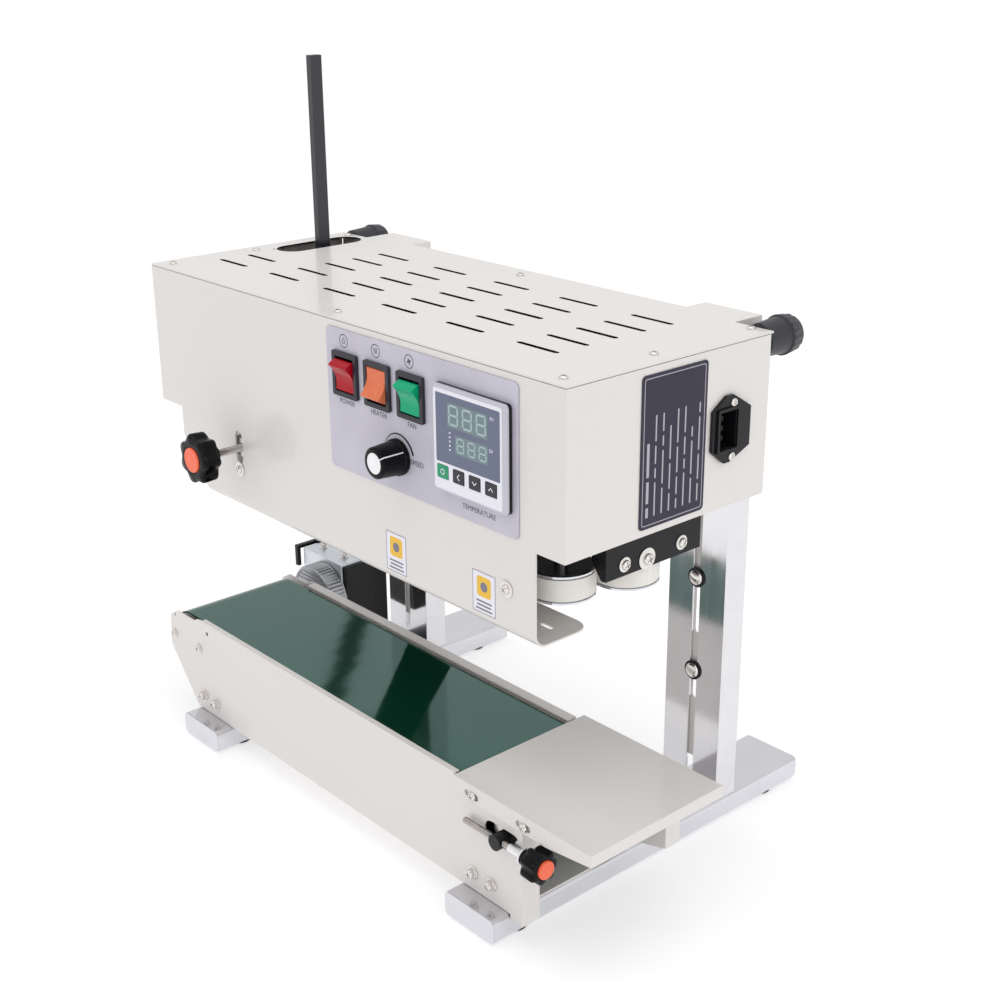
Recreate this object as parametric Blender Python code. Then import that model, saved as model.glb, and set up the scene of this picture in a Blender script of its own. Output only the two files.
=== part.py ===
"""Vertical continuous band sealer: an adjustable sealing head on two slotted columns,
over a belt conveyor. Sizes are in millimetres, converted to metres when a mesh is made."""

import math

import bmesh
import bpy
from mathutils import Matrix, Vector

MM = 0.001

# Head box. X runs along the machine from its left end, Y back from its front face, Z up
HEAD_LENGTH = 500.0
HEAD_DEPTH = 198.5
HEAD_BOTTOM = 296.0
HEAD_TOP = 414.1
SHEET = 1.5
GAP = 0.3

# Sheets folded along a shared face only join cleanly with this Boolean solver
FOLDED = "MANIFOLD"

# Overall reach, which sets the object's origin
REACH_LEFT = -17.0
REACH_RIGHT = 542.6
REACH_FRONT = -45.5
REACH_BACK = 311.5
PAD_HEIGHT = 2.5

# Feet and columns
FOOT_WIDTH = 54.2
FOOT_HEIGHT = 18.3
FOOT_FRONT = -29.5
COLUMN_WIDTH = 57.0
COLUMN_FRONT = 207.3
COLUMN_DEPTH = 23.4
COLUMN_WALL = 2.2
COLUMN_TOP = 335.0
COLUMN_SPREAD = 182.6
SLOT_WIDTH = 6.8
BOLT_HEIGHTS = {"lower": 125.8, "upper": 205.3}

# Skirt and its rolled lip
SKIRT_LEFT = 31.0
SKIRT_RIGHT = 472.5
SKIRT_BOTTOM = 226.0
LIP_RADIUS = 10.0
LIP_BACK = 52.0

# Sealing band wheels
WHEEL_RADIUS = 23.3
RIM_RADIUS = 24.3
BAND_INNER = 23.6
WHEEL_BOTTOM = 249.5
WHEEL_HEIGHT = 21.0
FRONT_LINE = 43.0
REAR_LINE = 92.0
DRIVE_X = 75.0
FRONT_EXIT_X = 452.0
REAR_EXIT_X = 465.0
GEAR_TEETH = 20

# Conveyor
CONVEYOR_FRONT = -13.7
CONVEYOR_BACK = 108.5
CONVEYOR_TOP = 108.0
BELT_FRONT = -8.5
BELT_BACK = 98.5
BELT_RADIUS = 27.0
BELT_THICKNESS = 1.5
DRIVE_ROLLER_X = 29.6
IDLER_X = 454.5
IDLER_BELT_RADIUS = 18.2
ROLLER_HEIGHT = 78.0
BED_END = 405.0
PLATE_RIGHT = 474.6
TABLE_LEFT = 403.2
TABLE_BACK = 116.0
TABLE_TOP = 107.3
TENSION_Y = -17.8
TABLE_SLOT_XS = (422.5, 476.7)

# Belt motor, hung behind its upright plate
DRIVE_PLATE_LEFT = -8.0
DRIVE_PLATE_TOP = 114.8

# Controls on the front panel
ROCKER_XS = {"red": 274.5, "orange": 312.0, "green": 349.5}
ROCKER_TILTS = {"red": 18.0, "orange": -18.0, "green": 18.0}
ROCKER_Z = 374.8
SPEED_KNOB = (332.6, 327.2)
CONTROLLER = (414.8, 354.9)
CONTROLLER_HALF = 37.7
BUTTON_NAMES = ("set", "left", "down", "up")
BUTTON_PITCH = 16.4
PRESSURE_ROD = (118.5, 280.0)
INLET = (155.0, 354.0)
LEVER_PIVOT = (31.2, 153.0, 330.0)

for old in list(bpy.data.objects):
    bpy.data.objects.remove(old, do_unlink=True)


def collection(name):
    group = bpy.data.collections.new(name)
    bpy.context.scene.collection.children.link(group)
    return group


PARTS = collection("band_sealer")
SHAPES = collection("joined_and_cut_shapes")


def material(name, colour, roughness, metallic=0.0):
    mat = bpy.data.materials.new(name)
    mat.use_nodes = True
    shader = mat.node_tree.nodes["Principled BSDF"]
    shader.inputs["Base Color"].default_value = (*colour, 1.0)
    shader.inputs["Roughness"].default_value = roughness
    shader.inputs["Metallic"].default_value = metallic
    return mat


PAINT = material("ivory_paint", (0.72, 0.70, 0.66), 0.35)
CHROME = material("chrome_plate", (0.78, 0.78, 0.80), 0.12, 1.0)
STEEL = material("bright_steel", (0.60, 0.60, 0.60), 0.3, 1.0)
ZINC = material("zinc_plate", (0.68, 0.71, 0.74), 0.35, 1.0)
BRASS = material("heater_brass", (0.70, 0.52, 0.25), 0.35, 1.0)
ALUMINIUM = material("cooler_aluminium", (0.75, 0.76, 0.77), 0.4, 1.0)
BLACK_PLASTIC = material("black_plastic", (0.02, 0.02, 0.022), 0.35)
BLACK_METAL = material("black_metal", (0.03, 0.03, 0.035), 0.4)
BLACK_RUBBER = material("black_rubber", (0.025, 0.025, 0.025), 0.6)
BELT_RUBBER = material("belt_green", (0.01, 0.10, 0.06), 0.15)
BAND_FABRIC = material("sealing_band", (0.80, 0.77, 0.70), 0.6)
PANEL = material("panel_grey", (0.45, 0.45, 0.50), 0.4)
ORANGE = material("cap_orange", (0.90, 0.16, 0.05), 0.4)
SWITCHES = {
    "red": material("rocker_red", (0.55, 0.02, 0.02), 0.25),
    "orange": material("rocker_orange", (0.85, 0.20, 0.04), 0.25),
    "green": material("rocker_green", (0.01, 0.35, 0.12), 0.25),
}
LABEL = material("label_dark", (0.05, 0.05, 0.08), 0.4)
KEY_PLASTIC = material("key_plastic", (0.55, 0.56, 0.58), 0.4)


def world(x, y, z):
    """A point of the head's own axes, as metres about the middle of the footprint."""
    return Vector((
        (x - (REACH_LEFT + REACH_RIGHT) / 2) * MM,
        (y - (REACH_FRONT + REACH_BACK) / 2) * MM,
        (z + PAD_HEIGHT) * MM,
    ))


def axisMatrix(axis):
    """Turns a drawing in local XY, thickened along local Z, to face along X, Y or Z."""
    columns = {
        "x": ((0, 1, 0), (0, 0, 1), (1, 0, 0)),
        "y": ((1, 0, 0), (0, 0, 1), (0, 1, 0)),
        "z": ((1, 0, 0), (0, 1, 0), (0, 0, 1)),
    }[axis]
    return Matrix(columns).transposed().to_4x4()


def newObject(name, bm, smooth=False):
    """Bakes a bmesh drawn in millimetres into an object placed at the world origin."""
    bmesh.ops.remove_doubles(bm, verts=bm.verts, dist=0.001)
    bmesh.ops.recalc_face_normals(bm, faces=bm.faces)
    for vert in bm.verts:
        vert.co = world(*vert.co)
    for face in bm.faces:
        face.smooth = smooth
    mesh = bpy.data.meshes.new(name)
    bm.to_mesh(mesh)
    bm.free()
    obj = bpy.data.objects.new(name, mesh)
    SHAPES.objects.link(obj)
    obj.hide_render = True
    obj.display_type = "WIRE"
    return obj


def prism(loops, axis, start, end, name="outline"):
    """Outline loops filled as a 2D curve, inner loops as holes, thickened along an axis."""
    curve = bpy.data.curves.new(name, "CURVE")
    curve.dimensions = "2D"
    curve.fill_mode = "BOTH"
    curve.extrude = abs(end - start) / 2
    for loop in loops:
        spline = curve.splines.new("POLY")
        spline.points.add(len(loop) - 1)
        for point, (u, v) in zip(spline.points, loop):
            point.co = (u, v, 0.0, 1.0)
        spline.use_cyclic_u = True
    holder = bpy.data.objects.new(name, curve)
    mesh = bpy.data.meshes.new_from_object(holder)
    bpy.data.objects.remove(holder, do_unlink=True)
    bm = bmesh.new()
    bm.from_mesh(mesh)
    bpy.data.meshes.remove(mesh)
    shift = Matrix.Translation((0, 0, (start + end) / 2))
    bm.transform(axisMatrix(axis) @ shift)
    return newObject(name, bm)


def box(x0, x1, y0, y1, z0, z1, name="box"):
    bm = bmesh.new()
    bmesh.ops.create_cube(bm, size=1.0)
    scale = Matrix.Diagonal((x1 - x0, y1 - y0, z1 - z0, 1.0))
    middle = Matrix.Translation(((x0 + x1) / 2, (y0 + y1) / 2, (z0 + z1) / 2))
    bm.transform(middle @ scale)
    return newObject(name, bm)


def turned(profile, axis, centre, segments=32, name="turned"):
    """A profile of (distance along the axis, radius) pairs, spun about the axis."""
    bm = bmesh.new()
    verts = [bm.verts.new((radius, 0.0, along)) for along, radius in profile]
    edges = [bm.edges.new(pair) for pair in zip(verts, verts[1:])]
    bmesh.ops.spin(
        bm, geom=verts + edges, cent=(0, 0, 0), axis=(0, 0, 1),
        angle=math.tau, steps=segments, use_merge=True, use_duplicate=False,
    )
    along = {"x": 0, "y": 1, "z": 2}[axis]
    shift = [0.0, 0.0, 0.0]
    rest = [index for index in range(3) if index != along]
    shift[rest[0]], shift[rest[1]] = centre
    bm.transform(Matrix.Translation(shift) @ axisMatrix(axis))
    return newObject(name, bm, smooth=True)


def cylinder(axis, centre, radius, start, end, segments=24, name="round"):
    profile = [(start, 0.0), (start, radius), (end, radius), (end, 0.0)]
    return turned(profile, axis, centre, segments, name)


def circle(u, v, radius, segments=24):
    step = math.tau / segments
    return [
        (u + radius * math.cos(step * i), v + radius * math.sin(step * i))
        for i in range(segments)
    ]


def roundedRectangle(u0, u1, v0, v1, radius, segments=4):
    points = []
    corners = ((u1, v1, 0), (u0, v1, 90), (u0, v0, 180), (u1, v0, 270))
    for u, v, turn in corners:
        inU = u - radius if u == u1 else u + radius
        inV = v - radius if v == v1 else v + radius
        for i in range(segments + 1):
            angle = math.radians(turn + 90 * i / segments)
            points.append((inU + radius * math.cos(angle), inV + radius * math.sin(angle)))
    return points


def obround(u, v, halfLength, radius, upright=False, segments=4):
    """A slot with round ends, its length along u, or along v when upright."""
    points = []
    for side in (1, -1):
        for i in range(segments + 1):
            angle = math.pi * i / segments - math.pi / 2
            along = side * (halfLength - radius + radius * math.cos(angle))
            across = side * radius * math.sin(angle)
            points.append((u - across, v + along) if upright else (u + along, v + across))
    return points


def modify(target, other, operation, solver):
    change = target.modifiers.new(operation.lower(), "BOOLEAN")
    change.operation = operation
    change.object = other
    change.solver = solver
    return target


def cut(target, *others, solver="EXACT"):
    for other in others:
        modify(target, other, "DIFFERENCE", solver)
    return target


def join(target, *others, solver="EXACT"):
    for other in others:
        modify(target, other, "UNION", solver)
    return target


def part(name, obj, mat, origin=None):
    """Names a finished solid, colours it and puts its origin on its own pivot."""
    obj.name = name
    obj.data.name = name
    obj.data.materials.append(mat)
    SHAPES.objects.unlink(obj)
    PARTS.objects.link(obj)
    obj.hide_render = False
    obj.display_type = "TEXTURED"
    if origin is not None:
        place = world(*origin)
        obj.data.transform(Matrix.Translation(-place))
        obj.location = place
    return obj


def starOutline(u, v, radius, lobes=7, depth=0.09):
    """A seven-lobed hand knob seen from the end."""
    points = []
    count = lobes * 6
    for i in range(count):
        angle = math.tau * i / count
        reach = radius * (1 - depth + depth * math.cos(lobes * angle))
        points.append((u + reach * math.cos(angle), v + reach * math.sin(angle)))
    return points


def gearOutline(u, v, teeth, pitchRadius, phase=0.0):
    points = []
    module = 2 * pitchRadius / teeth
    for i in range(teeth):
        for offset, reach in ((-0.30, -1.2), (-0.13, 0.85), (0.13, 0.85), (0.30, -1.2)):
            angle = math.tau * (i + offset + phase) / teeth
            radius = pitchRadius + module * reach
            points.append((u + radius * math.cos(angle), v + radius * math.sin(angle)))
    return points


def stadium(uA, uB, v, radius, segments=16):
    """The outline of a band wrapped round two equal wheels."""
    points = []
    for u, turn in ((uB, -90), (uA, 90)):
        for i in range(segments + 1):
            angle = math.radians(turn + 180 * i / segments)
            points.append((u + radius * math.cos(angle), v + radius * math.sin(angle)))
    return points


def columnCentre(side):
    return HEAD_LENGTH / 2 + side * COLUMN_SPREAD


def buildFoot(name, side):
    outer = columnCentre(side) + COLUMN_WIDTH / 2
    inner = outer - FOOT_WIDTH
    tube = prism(
        [roundedRectangle(inner, outer, 0.0, FOOT_HEIGHT, 2.2, 3)],
        "y", FOOT_FRONT, REACH_BACK,
    )
    for y in (0.0, 276.0):
        for x in (inner + 10.0, outer - 10.0):
            join(tube, cylinder("z", (x, y), 8.5, -PAD_HEIGHT, 0.5, 12))
    return part(name, tube, CHROME)


def buildColumn(name, side):
    middle = columnCentre(side)
    left, right = middle - COLUMN_WIDTH / 2, middle + COLUMN_WIDTH / 2
    back = COLUMN_FRONT + COLUMN_DEPTH
    inside = COLUMN_FRONT + COLUMN_WALL
    channel = prism([[
        (left, COLUMN_FRONT), (right, COLUMN_FRONT), (right, back),
        (right - COLUMN_WALL, back), (right - COLUMN_WALL, inside),
        (left + COLUMN_WALL, inside), (left + COLUMN_WALL, back), (left, back),
    ]], "z", FOOT_HEIGHT + GAP, COLUMN_TOP)
    slot = prism(
        [obround(middle, 148.5, 113.5, SLOT_WIDTH / 2, upright=True)],
        "y", COLUMN_FRONT - 2, inside + 2,
    )
    return part(name, cut(channel, slot), CHROME)


def buildStrap(name, side):
    """Painted strap inside a column, stepped forward above the column to the head's back."""
    middle = columnCentre(side)
    front = COLUMN_FRONT + COLUMN_WALL + GAP
    wall = HEAD_DEPTH + GAP
    thick = 2.5
    jog = COLUMN_TOP + 25.0
    profile = [
        (front, 48.0), (front + thick, 48.0), (front + thick, jog + thick),
        (wall + thick, jog + thick), (wall + thick, 398.0), (wall, 398.0),
        (wall, jog), (front, jog),
    ]
    strap = prism([profile], "x", middle - 25.0, middle + 25.0)
    windows = [
        prism([obround(middle, 176.0, 20.0, SLOT_WIDTH / 2, upright=True)], "y", 205, 215),
        prism([obround(middle, 107.5, 8.5, SLOT_WIDTH / 2, upright=True)], "y", 205, 215),
    ]
    holes = [
        cylinder("y", (middle, z), 3.3, 205, 215, 16) for z in BOLT_HEIGHTS.values()
    ]
    return part(name, cut(strap, *windows, *holes), PAINT)


def buildColumnBolt(name, side, z):
    """Round-headed clamp bolt with its nut behind the strap."""
    middle = columnCentre(side)
    web = COLUMN_FRONT - GAP
    nut = COLUMN_FRONT + COLUMN_WALL + 3.0 + GAP
    bolt = turned(
        [(web - 4.6, 0.0), (web - 4.2, 2.6), (web - 3.0, 4.8), (web - 1.2, 6.0),
         (web, 6.3), (web, 2.9), (nut + 8.0, 2.9), (nut + 8.0, 0.0)],
        "y", (middle, z), 16,
    )
    join(bolt, prism([circle(middle, z, 5.6, 6)], "y", nut, nut + 4.5))
    return part(name, bolt, STEEL)


def buildHeadShell():
    """Front panel with its skirt, folded back into the two end walls."""
    top = HEAD_TOP - SHEET - GAP
    outline = [
        (0.0, HEAD_BOTTOM), (SKIRT_LEFT, HEAD_BOTTOM), (SKIRT_LEFT, 272.0), (62.5, 240.0),
        (62.5, SKIRT_BOTTOM + LIP_RADIUS), (SKIRT_RIGHT, SKIRT_BOTTOM + LIP_RADIUS),
        (SKIRT_RIGHT, HEAD_BOTTOM), (HEAD_LENGTH, HEAD_BOTTOM), (HEAD_LENGTH, top), (0.0, top),
    ]
    loops = [outline, obround(PRESSURE_ROD[0], 281.0, 14.0, 5.0, upright=True)]
    for x in ROCKER_XS.values():
        loops.append(roundedRectangle(x - 13.2, x + 13.2, ROCKER_Z - 14.8, ROCKER_Z + 14.8, 0.4, 1))
    loops.append(circle(*SPEED_KNOB, 4.0, 16))
    x, z = CONTROLLER
    loops.append(roundedRectangle(x - 34, x + 34, z - 34, z + 34, 0.4, 1))
    shell = prism(loops, "y", 0.0, SHEET)

    lip = [(0.0, SKIRT_BOTTOM + LIP_RADIUS + 6)]
    for i in range(7):
        angle = math.radians(180 + 15 * i)
        lip.append((LIP_RADIUS * (1 + math.cos(angle)),
                    SKIRT_BOTTOM + LIP_RADIUS * (1 + math.sin(angle))))
    lip += [(LIP_BACK, SKIRT_BOTTOM), (LIP_BACK, SKIRT_BOTTOM + SHEET)]
    for i in range(7):
        angle = math.radians(270 - 15 * i)
        inner = LIP_RADIUS - SHEET
        lip.append((LIP_RADIUS + inner * math.cos(angle),
                    SKIRT_BOTTOM + LIP_RADIUS + inner * math.sin(angle)))
    lip.append((SHEET, SKIRT_BOTTOM + LIP_RADIUS + 6))
    join(shell, prism([lip], "x", 62.5, SKIRT_RIGHT), solver=FOLDED)
    corner = [(SKIRT_RIGHT + 1, LIP_BACK - 12), (SKIRT_RIGHT + 1, LIP_BACK + 1),
              (SKIRT_RIGHT - 12, LIP_BACK + 1)]
    for i in range(5):
        angle = math.radians(90 - 22.5 * i)
        corner.append((SKIRT_RIGHT - 12 + 12 * math.cos(angle),
                       LIP_BACK - 12 + 12 * math.sin(angle)))
    cut(shell, prism([corner], "z", SKIRT_BOTTOM - 2, SKIRT_BOTTOM + 4), solver=FOLDED)
    for x, halfLength in ((431.0, 11.0), (452.0, 6.0)):
        slot = prism([obround(x, 30.0, halfLength, 1.8)], "z", 224, 230)
        cut(shell, slot, solver=FOLDED)

    back = HEAD_DEPTH - 2.5 - GAP
    left = box(0.0, SHEET, 0.5, back, HEAD_BOTTOM, top)
    right = box(HEAD_LENGTH - SHEET, HEAD_LENGTH, 0.5, back, HEAD_BOTTOM, top)
    join(shell, left, right, solver=FOLDED)
    y, z = INLET
    socket = box(HEAD_LENGTH - 4, HEAD_LENGTH + 2, y - 14.2, y + 14.2, z - 16.2, z + 16.2)
    cut(shell, socket, solver=FOLDED)
    return part("head_shell", shell, PAINT)


def buildHeadFrame():
    """Inner floor plate that carries the mechanism, with the head's back wall."""
    top = HEAD_TOP - SHEET - GAP
    holes = [
        circle(DRIVE_X, FRONT_LINE, 5.6, 16), circle(DRIVE_X, REAR_LINE, 5.6, 16),
        circle(FRONT_EXIT_X, FRONT_LINE, 5.6, 16), circle(REAR_EXIT_X, REAR_LINE, 5.6, 16),
    ]
    floor = [(2.0, 2.2), (498.0, 2.2), (498.0, 197.0), (2.0, 197.0)]
    frame = prism([floor] + holes, "z", HEAD_BOTTOM + 1.5, HEAD_BOTTOM + 4.0)
    join(frame, box(2.0, 498.0, 196.0, HEAD_DEPTH, HEAD_BOTTOM + 1.5, top))
    x, y, z = LEVER_PIVOT
    for side in (-1, 1):
        cheek = [(y - 14, 299.0), (y + 14, 299.0), (y + 9, z + 9), (y - 9, z + 9)]
        join(frame, prism([cheek], "x", x + side * 7.0, x + side * 10.0))
    join(frame, cylinder("x", (y, z), 3.5, x - 11, x + 11, 20))
    return part("head_frame", frame, PAINT)


def buildTopCover():
    """Vented lid with two rear ears over the columns and a long hole for the lever."""
    ears = [(411.0, 465.0), (35.0, 89.0)]
    earBack, lidBack = 229.0, 208.0
    outline = [(0.0, 0.0), (HEAD_LENGTH, 0.0), (HEAD_LENGTH, HEAD_DEPTH)]
    for index, (left, right) in enumerate(ears):
        outline += [(right, HEAD_DEPTH if index == 0 else lidBack)]
        outline += [(right, earBack), (left, earBack)]
        outline += [(left, lidBack if index == 0 else HEAD_DEPTH)]
    outline.append((0.0, HEAD_DEPTH))
    vents = []
    for column in range(6):
        for row in range(5):
            if column == 0 and row > 1:
                continue
            x = 47.0 + 74.6 * column
            vents.append(obround(x, 50.8 + 27.7 * row, 20.5, 2.0, segments=2))
    lever = obround(30.5, 150.0, 42.0, 15.0, upright=True, segments=12)
    lid = prism([outline, lever] + vents, "z", HEAD_TOP - SHEET, HEAD_TOP)
    drop = HEAD_TOP - 10.0
    for left, right in ears:
        for x0, x1, y0 in (
            (left, right, earBack - SHEET),
            (left, left + SHEET, HEAD_DEPTH + 4),
            (right - SHEET, right, HEAD_DEPTH + 4),
        ):
            join(lid, box(x0, x1, y0, earBack, drop, HEAD_TOP - 0.5), solver=FOLDED)
    return part("top_cover", lid, PAINT)


def buildLever():
    x, y, z = LEVER_PIVOT
    bar = prism([roundedRectangle(y - 5.75, y + 5.75, z, 575.0, 0.8, 2)], "x", x - 3.2, x + 3.2)
    join(bar, cylinder("x", (y, z), 9.5, x - 4.5, x + 4.5, 28))
    cut(bar, cylinder("x", (y, z), 3.9, x - 6, x + 6, 20))
    part("release_lever", bar, BLACK_METAL, LEVER_PIVOT)


def buildControlPlate():
    loops = [roundedRectangle(250.5, 457.5, 300.5, 407.5, 4, 4)]
    for x in ROCKER_XS.values():
        loops.append(roundedRectangle(x - 13.2, x + 13.2, ROCKER_Z - 14.8, ROCKER_Z + 14.8, 0.4, 1))
    loops.append(circle(*SPEED_KNOB, 4.0, 16))
    x, z = CONTROLLER
    loops.append(roundedRectangle(x - 34, x + 34, z - 34, z + 34, 0.4, 1))
    plate = prism(loops, "y", -1.1, -GAP)
    part("control_plate", plate, PANEL)


def buildRocker(colour):
    x = ROCKER_XS[colour]
    housing = prism(
        [roundedRectangle(x - 14.4, x + 14.4, ROCKER_Z - 16.7, ROCKER_Z + 16.7, 1.5, 3)],
        "y", -4.0, -1.4,
    )
    join(housing, box(x - 12.8, x + 12.8, -2.0, 16.0, ROCKER_Z - 14.4, ROCKER_Z + 14.4))
    cut(housing, box(x - 10.9, x + 10.9, -5.0, 9.0, ROCKER_Z - 13.0, ROCKER_Z + 13.0))
    part(f"rocker_housing_{colour}", housing, BLACK_PLASTIC)

    pivotY = 0.5
    tilt = math.radians(ROCKER_TILTS[colour])
    half = [(-5.0, 0.0), (-7.85, 9.8), (-0.98, 12.2), (4.5, 8.6), (6.0, 0.0)]
    outline = half + [(y, -z) for y, z in half[-2:0:-1]]
    profile = []
    for y, z in outline:
        profile.append((pivotY + y * math.cos(tilt) - z * math.sin(tilt),
                        ROCKER_Z + y * math.sin(tilt) + z * math.cos(tilt)))
    paddle = prism([profile], "x", x - 10.5, x + 10.5)
    part(f"rocker_{colour}", paddle, SWITCHES[colour], (x, pivotY, ROCKER_Z))


def buildSpeedKnob():
    x, z = SPEED_KNOB
    knob = turned(
        [(-23.5, 0.0), (-23.5, 10.6), (-22.4, 11.6), (-6.0, 12.6), (-5.0, 13.6),
         (-1.5, 13.6), (-1.5, 3.2), (9.0, 3.2), (9.0, 0.0)],
        "y", (x, z), 24,
    )
    part("speed_knob", knob, BLACK_PLASTIC, (x, 0.0, z))


def buildController():
    x, z = CONTROLLER
    half = CONTROLLER_HALF
    body = prism([roundedRectangle(x - half, x + half, z - half, z + half, 3, 3)], "y", -5.4, -1.4)
    join(body, box(x - 33.5, x + 33.5, -2.0, 68.0, z - 33.5, z + 33.5))
    places = [x - 3.5 + BUTTON_PITCH * (index - 1.5) for index in range(4)]
    for place in places:
        cut(body, box(place - 6.1, place + 6.1, -7.0, -2.2, z - 28.8, z - 18.5))
    part("temperature_controller", body, BLACK_PLASTIC)
    for name, place in zip(BUTTON_NAMES, places):
        key = prism(
            [roundedRectangle(place - 5.6, place + 5.6, z - 28.3, z - 19.0, 1, 2)],
            "y", -6.0, -3.3,
        )
        part(f"controller_key_{name}", key, KEY_PLASTIC, (place, -6.0, z - 23.7))


def buildInlet():
    """Appliance inlet let into the right end wall, with its three upright pins."""
    y, z = INLET
    face = HEAD_LENGTH + GAP
    outline = [
        (y - 6.0, z + 24.0), (y + 1.0, z + 24.0), (y + 19.5, z + 12.5), (y + 19.5, z - 15.5),
        (y - 1.0, z - 24.0), (y - 7.0, z - 24.0), (y - 20.0, z - 13.5), (y - 20.0, z + 15.0),
    ]
    body = prism([outline], "x", face, face + 2.6)
    join(body, box(face - 30, face + 1, y - 13.6, y + 13.6, z - 15.6, z + 15.6))
    cut(body, box(face - 15, face + 4, y - 12.0, y + 4.0, z - 13.5, z + 13.5))
    for offset in (-7.0, 0.0, 7.0):
        join(body, box(face - 16, face - 2, y - 6.0, y - 4.0, z + offset - 2, z + offset + 2))
    part("power_inlet", body, BLACK_PLASTIC)


def buildRatingPlate():
    plate = prism([roundedRectangle(66.9, 130.4, 301.0, 407.2, 3, 3)], "x",
                  HEAD_LENGTH + GAP, HEAD_LENGTH + GAP + 0.5)
    part("rating_plate", plate, LABEL)


def buildPressureKnob():
    x, z = PRESSURE_ROD
    pivot = (x, 0.0, z)
    knob = prism([starOutline(x, z, 21.0)], "y", -43.0, -28.0)
    join(knob, cylinder("y", (x, z), 9.5, -29.0, -23.0, 28))
    cut(knob, cylinder("y", (x, z), 3.6, -36.0, -20.0, 20))
    cut(knob, cylinder("y", (x, z), 10.8, -41.0, -45.0, 28))
    part("pressure_knob", knob, BLACK_PLASTIC, pivot)
    cap = turned([(-45.5, 0.0), (-45.5, 8.8), (-44.5, 10.3), (-41.4, 10.3), (-41.4, 0.0)],
                 "y", (x, z), 28)
    part("pressure_knob_cap", cap, ORANGE, pivot)
    rod = cylinder("y", (x, z), 3.25, -35.6, 18.0, 20)
    part("pressure_rod", rod, STEEL, pivot)
    block = box(x - 10, x + 10, 2.6, 14.0, z - 8.0, z + 8.0)
    cut(block, cylinder("y", (x, z), 3.6, 0.0, 18.0, 20))
    part("pressure_block", block, STEEL, pivot)


def buildWheel(name, x, y, geared=False, phase=0.0):
    """Flanged band wheel hanging below the frame on its own upright shaft."""
    low, high = WHEEL_BOTTOM, WHEEL_BOTTOM + WHEEL_HEIGHT
    top = 318.0 if geared else 309.0
    wheel = turned(
        [(low, 0.0), (low, RIM_RADIUS), (low + 2.0, RIM_RADIUS), (low + 2.0, WHEEL_RADIUS),
         (high - 2.0, WHEEL_RADIUS), (high - 2.0, RIM_RADIUS), (high, RIM_RADIUS),
         (high, 5.0), (top, 5.0), (top, 0.0)],
        "z", (x, y), 32,
    )
    if geared:
        pitch = (REAR_LINE - FRONT_LINE) / 2
        join(wheel, prism([gearOutline(x, y, GEAR_TEETH, pitch, phase)], "z", 303.0, 309.0))
    part(name, wheel, STEEL, (x, y, low))


def buildBand(name, xEnd, y):
    band = prism(
        [stadium(DRIVE_X, xEnd, y, BAND_INNER + 0.7), stadium(DRIVE_X, xEnd, y, BAND_INNER)],
        "z", WHEEL_BOTTOM + 2.8, WHEEL_BOTTOM + WHEEL_HEIGHT - 2.8,
    )
    part(name, band, BAND_FABRIC)


def buildJawBlock(name, x0, x1, line, inward, mat, fins=0):
    """Block behind a band's inner run, hung from the frame plate on two posts."""
    face = line + inward * (BAND_INNER - 0.5)
    back = face - inward * 14.0
    low, high = WHEEL_BOTTOM + 1.0, WHEEL_BOTTOM + WHEEL_HEIGHT
    y0, y1 = sorted((face, back))
    block = box(x0, x1, y0, y1, low, high)
    for x in (x0 + 10, x1 - 10):
        join(block, cylinder("z", (x, (y0 + y1) / 2), 3.5, high - 2, 297.2, 16))
    for index in range(fins):
        x = x0 + 6 + (x1 - x0 - 14) * index / (fins - 1)
        cut(block, box(x, x + 2, back - 6, back + 6, low - 1, high - 4))
    part(name, block, mat)


def buildExitBracket():
    """Black angle under the right end that carries the rear exit wheel's slide."""
    plate = box(490.2, 492.4, 45.0, 139.0, 268.0, 297.2)
    join(plate, box(479.0, 492.0, 45.0, 139.0, 295.0, 297.2))
    cheek = [(479.0, 297.0), (492.0, 297.0), (492.0, 268.0), (488.0, 268.0), (479.0, 280.0)]
    join(plate, prism([cheek], "y", 45.0, 47.2))
    part("exit_bracket", plate, BLACK_METAL)


def buildHeadMotor():
    """Geared motor on the frame plate that turns both band wheels."""
    motor = box(104.0, 168.0, 104.0, 158.0, 312.0, 360.0)
    join(motor, cylinder("x", (131.0, 336.0), 27.0, 166.0, 262.0, 32))
    join(motor, box(112.0, 160.0, 120.0, 156.0, 300.3, 313.0))
    join(motor, box(176.0, 250.0, 112.0, 150.0, 300.3, 316.0))
    part("head_motor", motor, BLACK_METAL)


def buildBumper(name, x):
    z = 405.0
    start = HEAD_DEPTH + GAP
    bumper = turned(
        [(start, 0.0), (start, 12.0), (219.0, 13.6), (219.0, 14.6), (221.0, 14.8),
         (231.0, 13.6), (233.5, 12.0), (233.5, 0.0)],
        "y", (x, z), 24,
    )
    part(name, bumper, BLACK_RUBBER)


def sideOutline(rightPoints):
    """A conveyor side plate: tapered at the left end, with a small step in its top edge."""
    return [
        (41.5, FOOT_HEIGHT + GAP), (0.6, 67.0), (3.7, 97.0), (15.5, 103.8), (43.9, 103.8),
        (49.2, 106.8), (56.7, CONVEYOR_TOP), (402.0, CONVEYOR_TOP), (402.0, 105.4),
    ] + rightPoints


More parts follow.
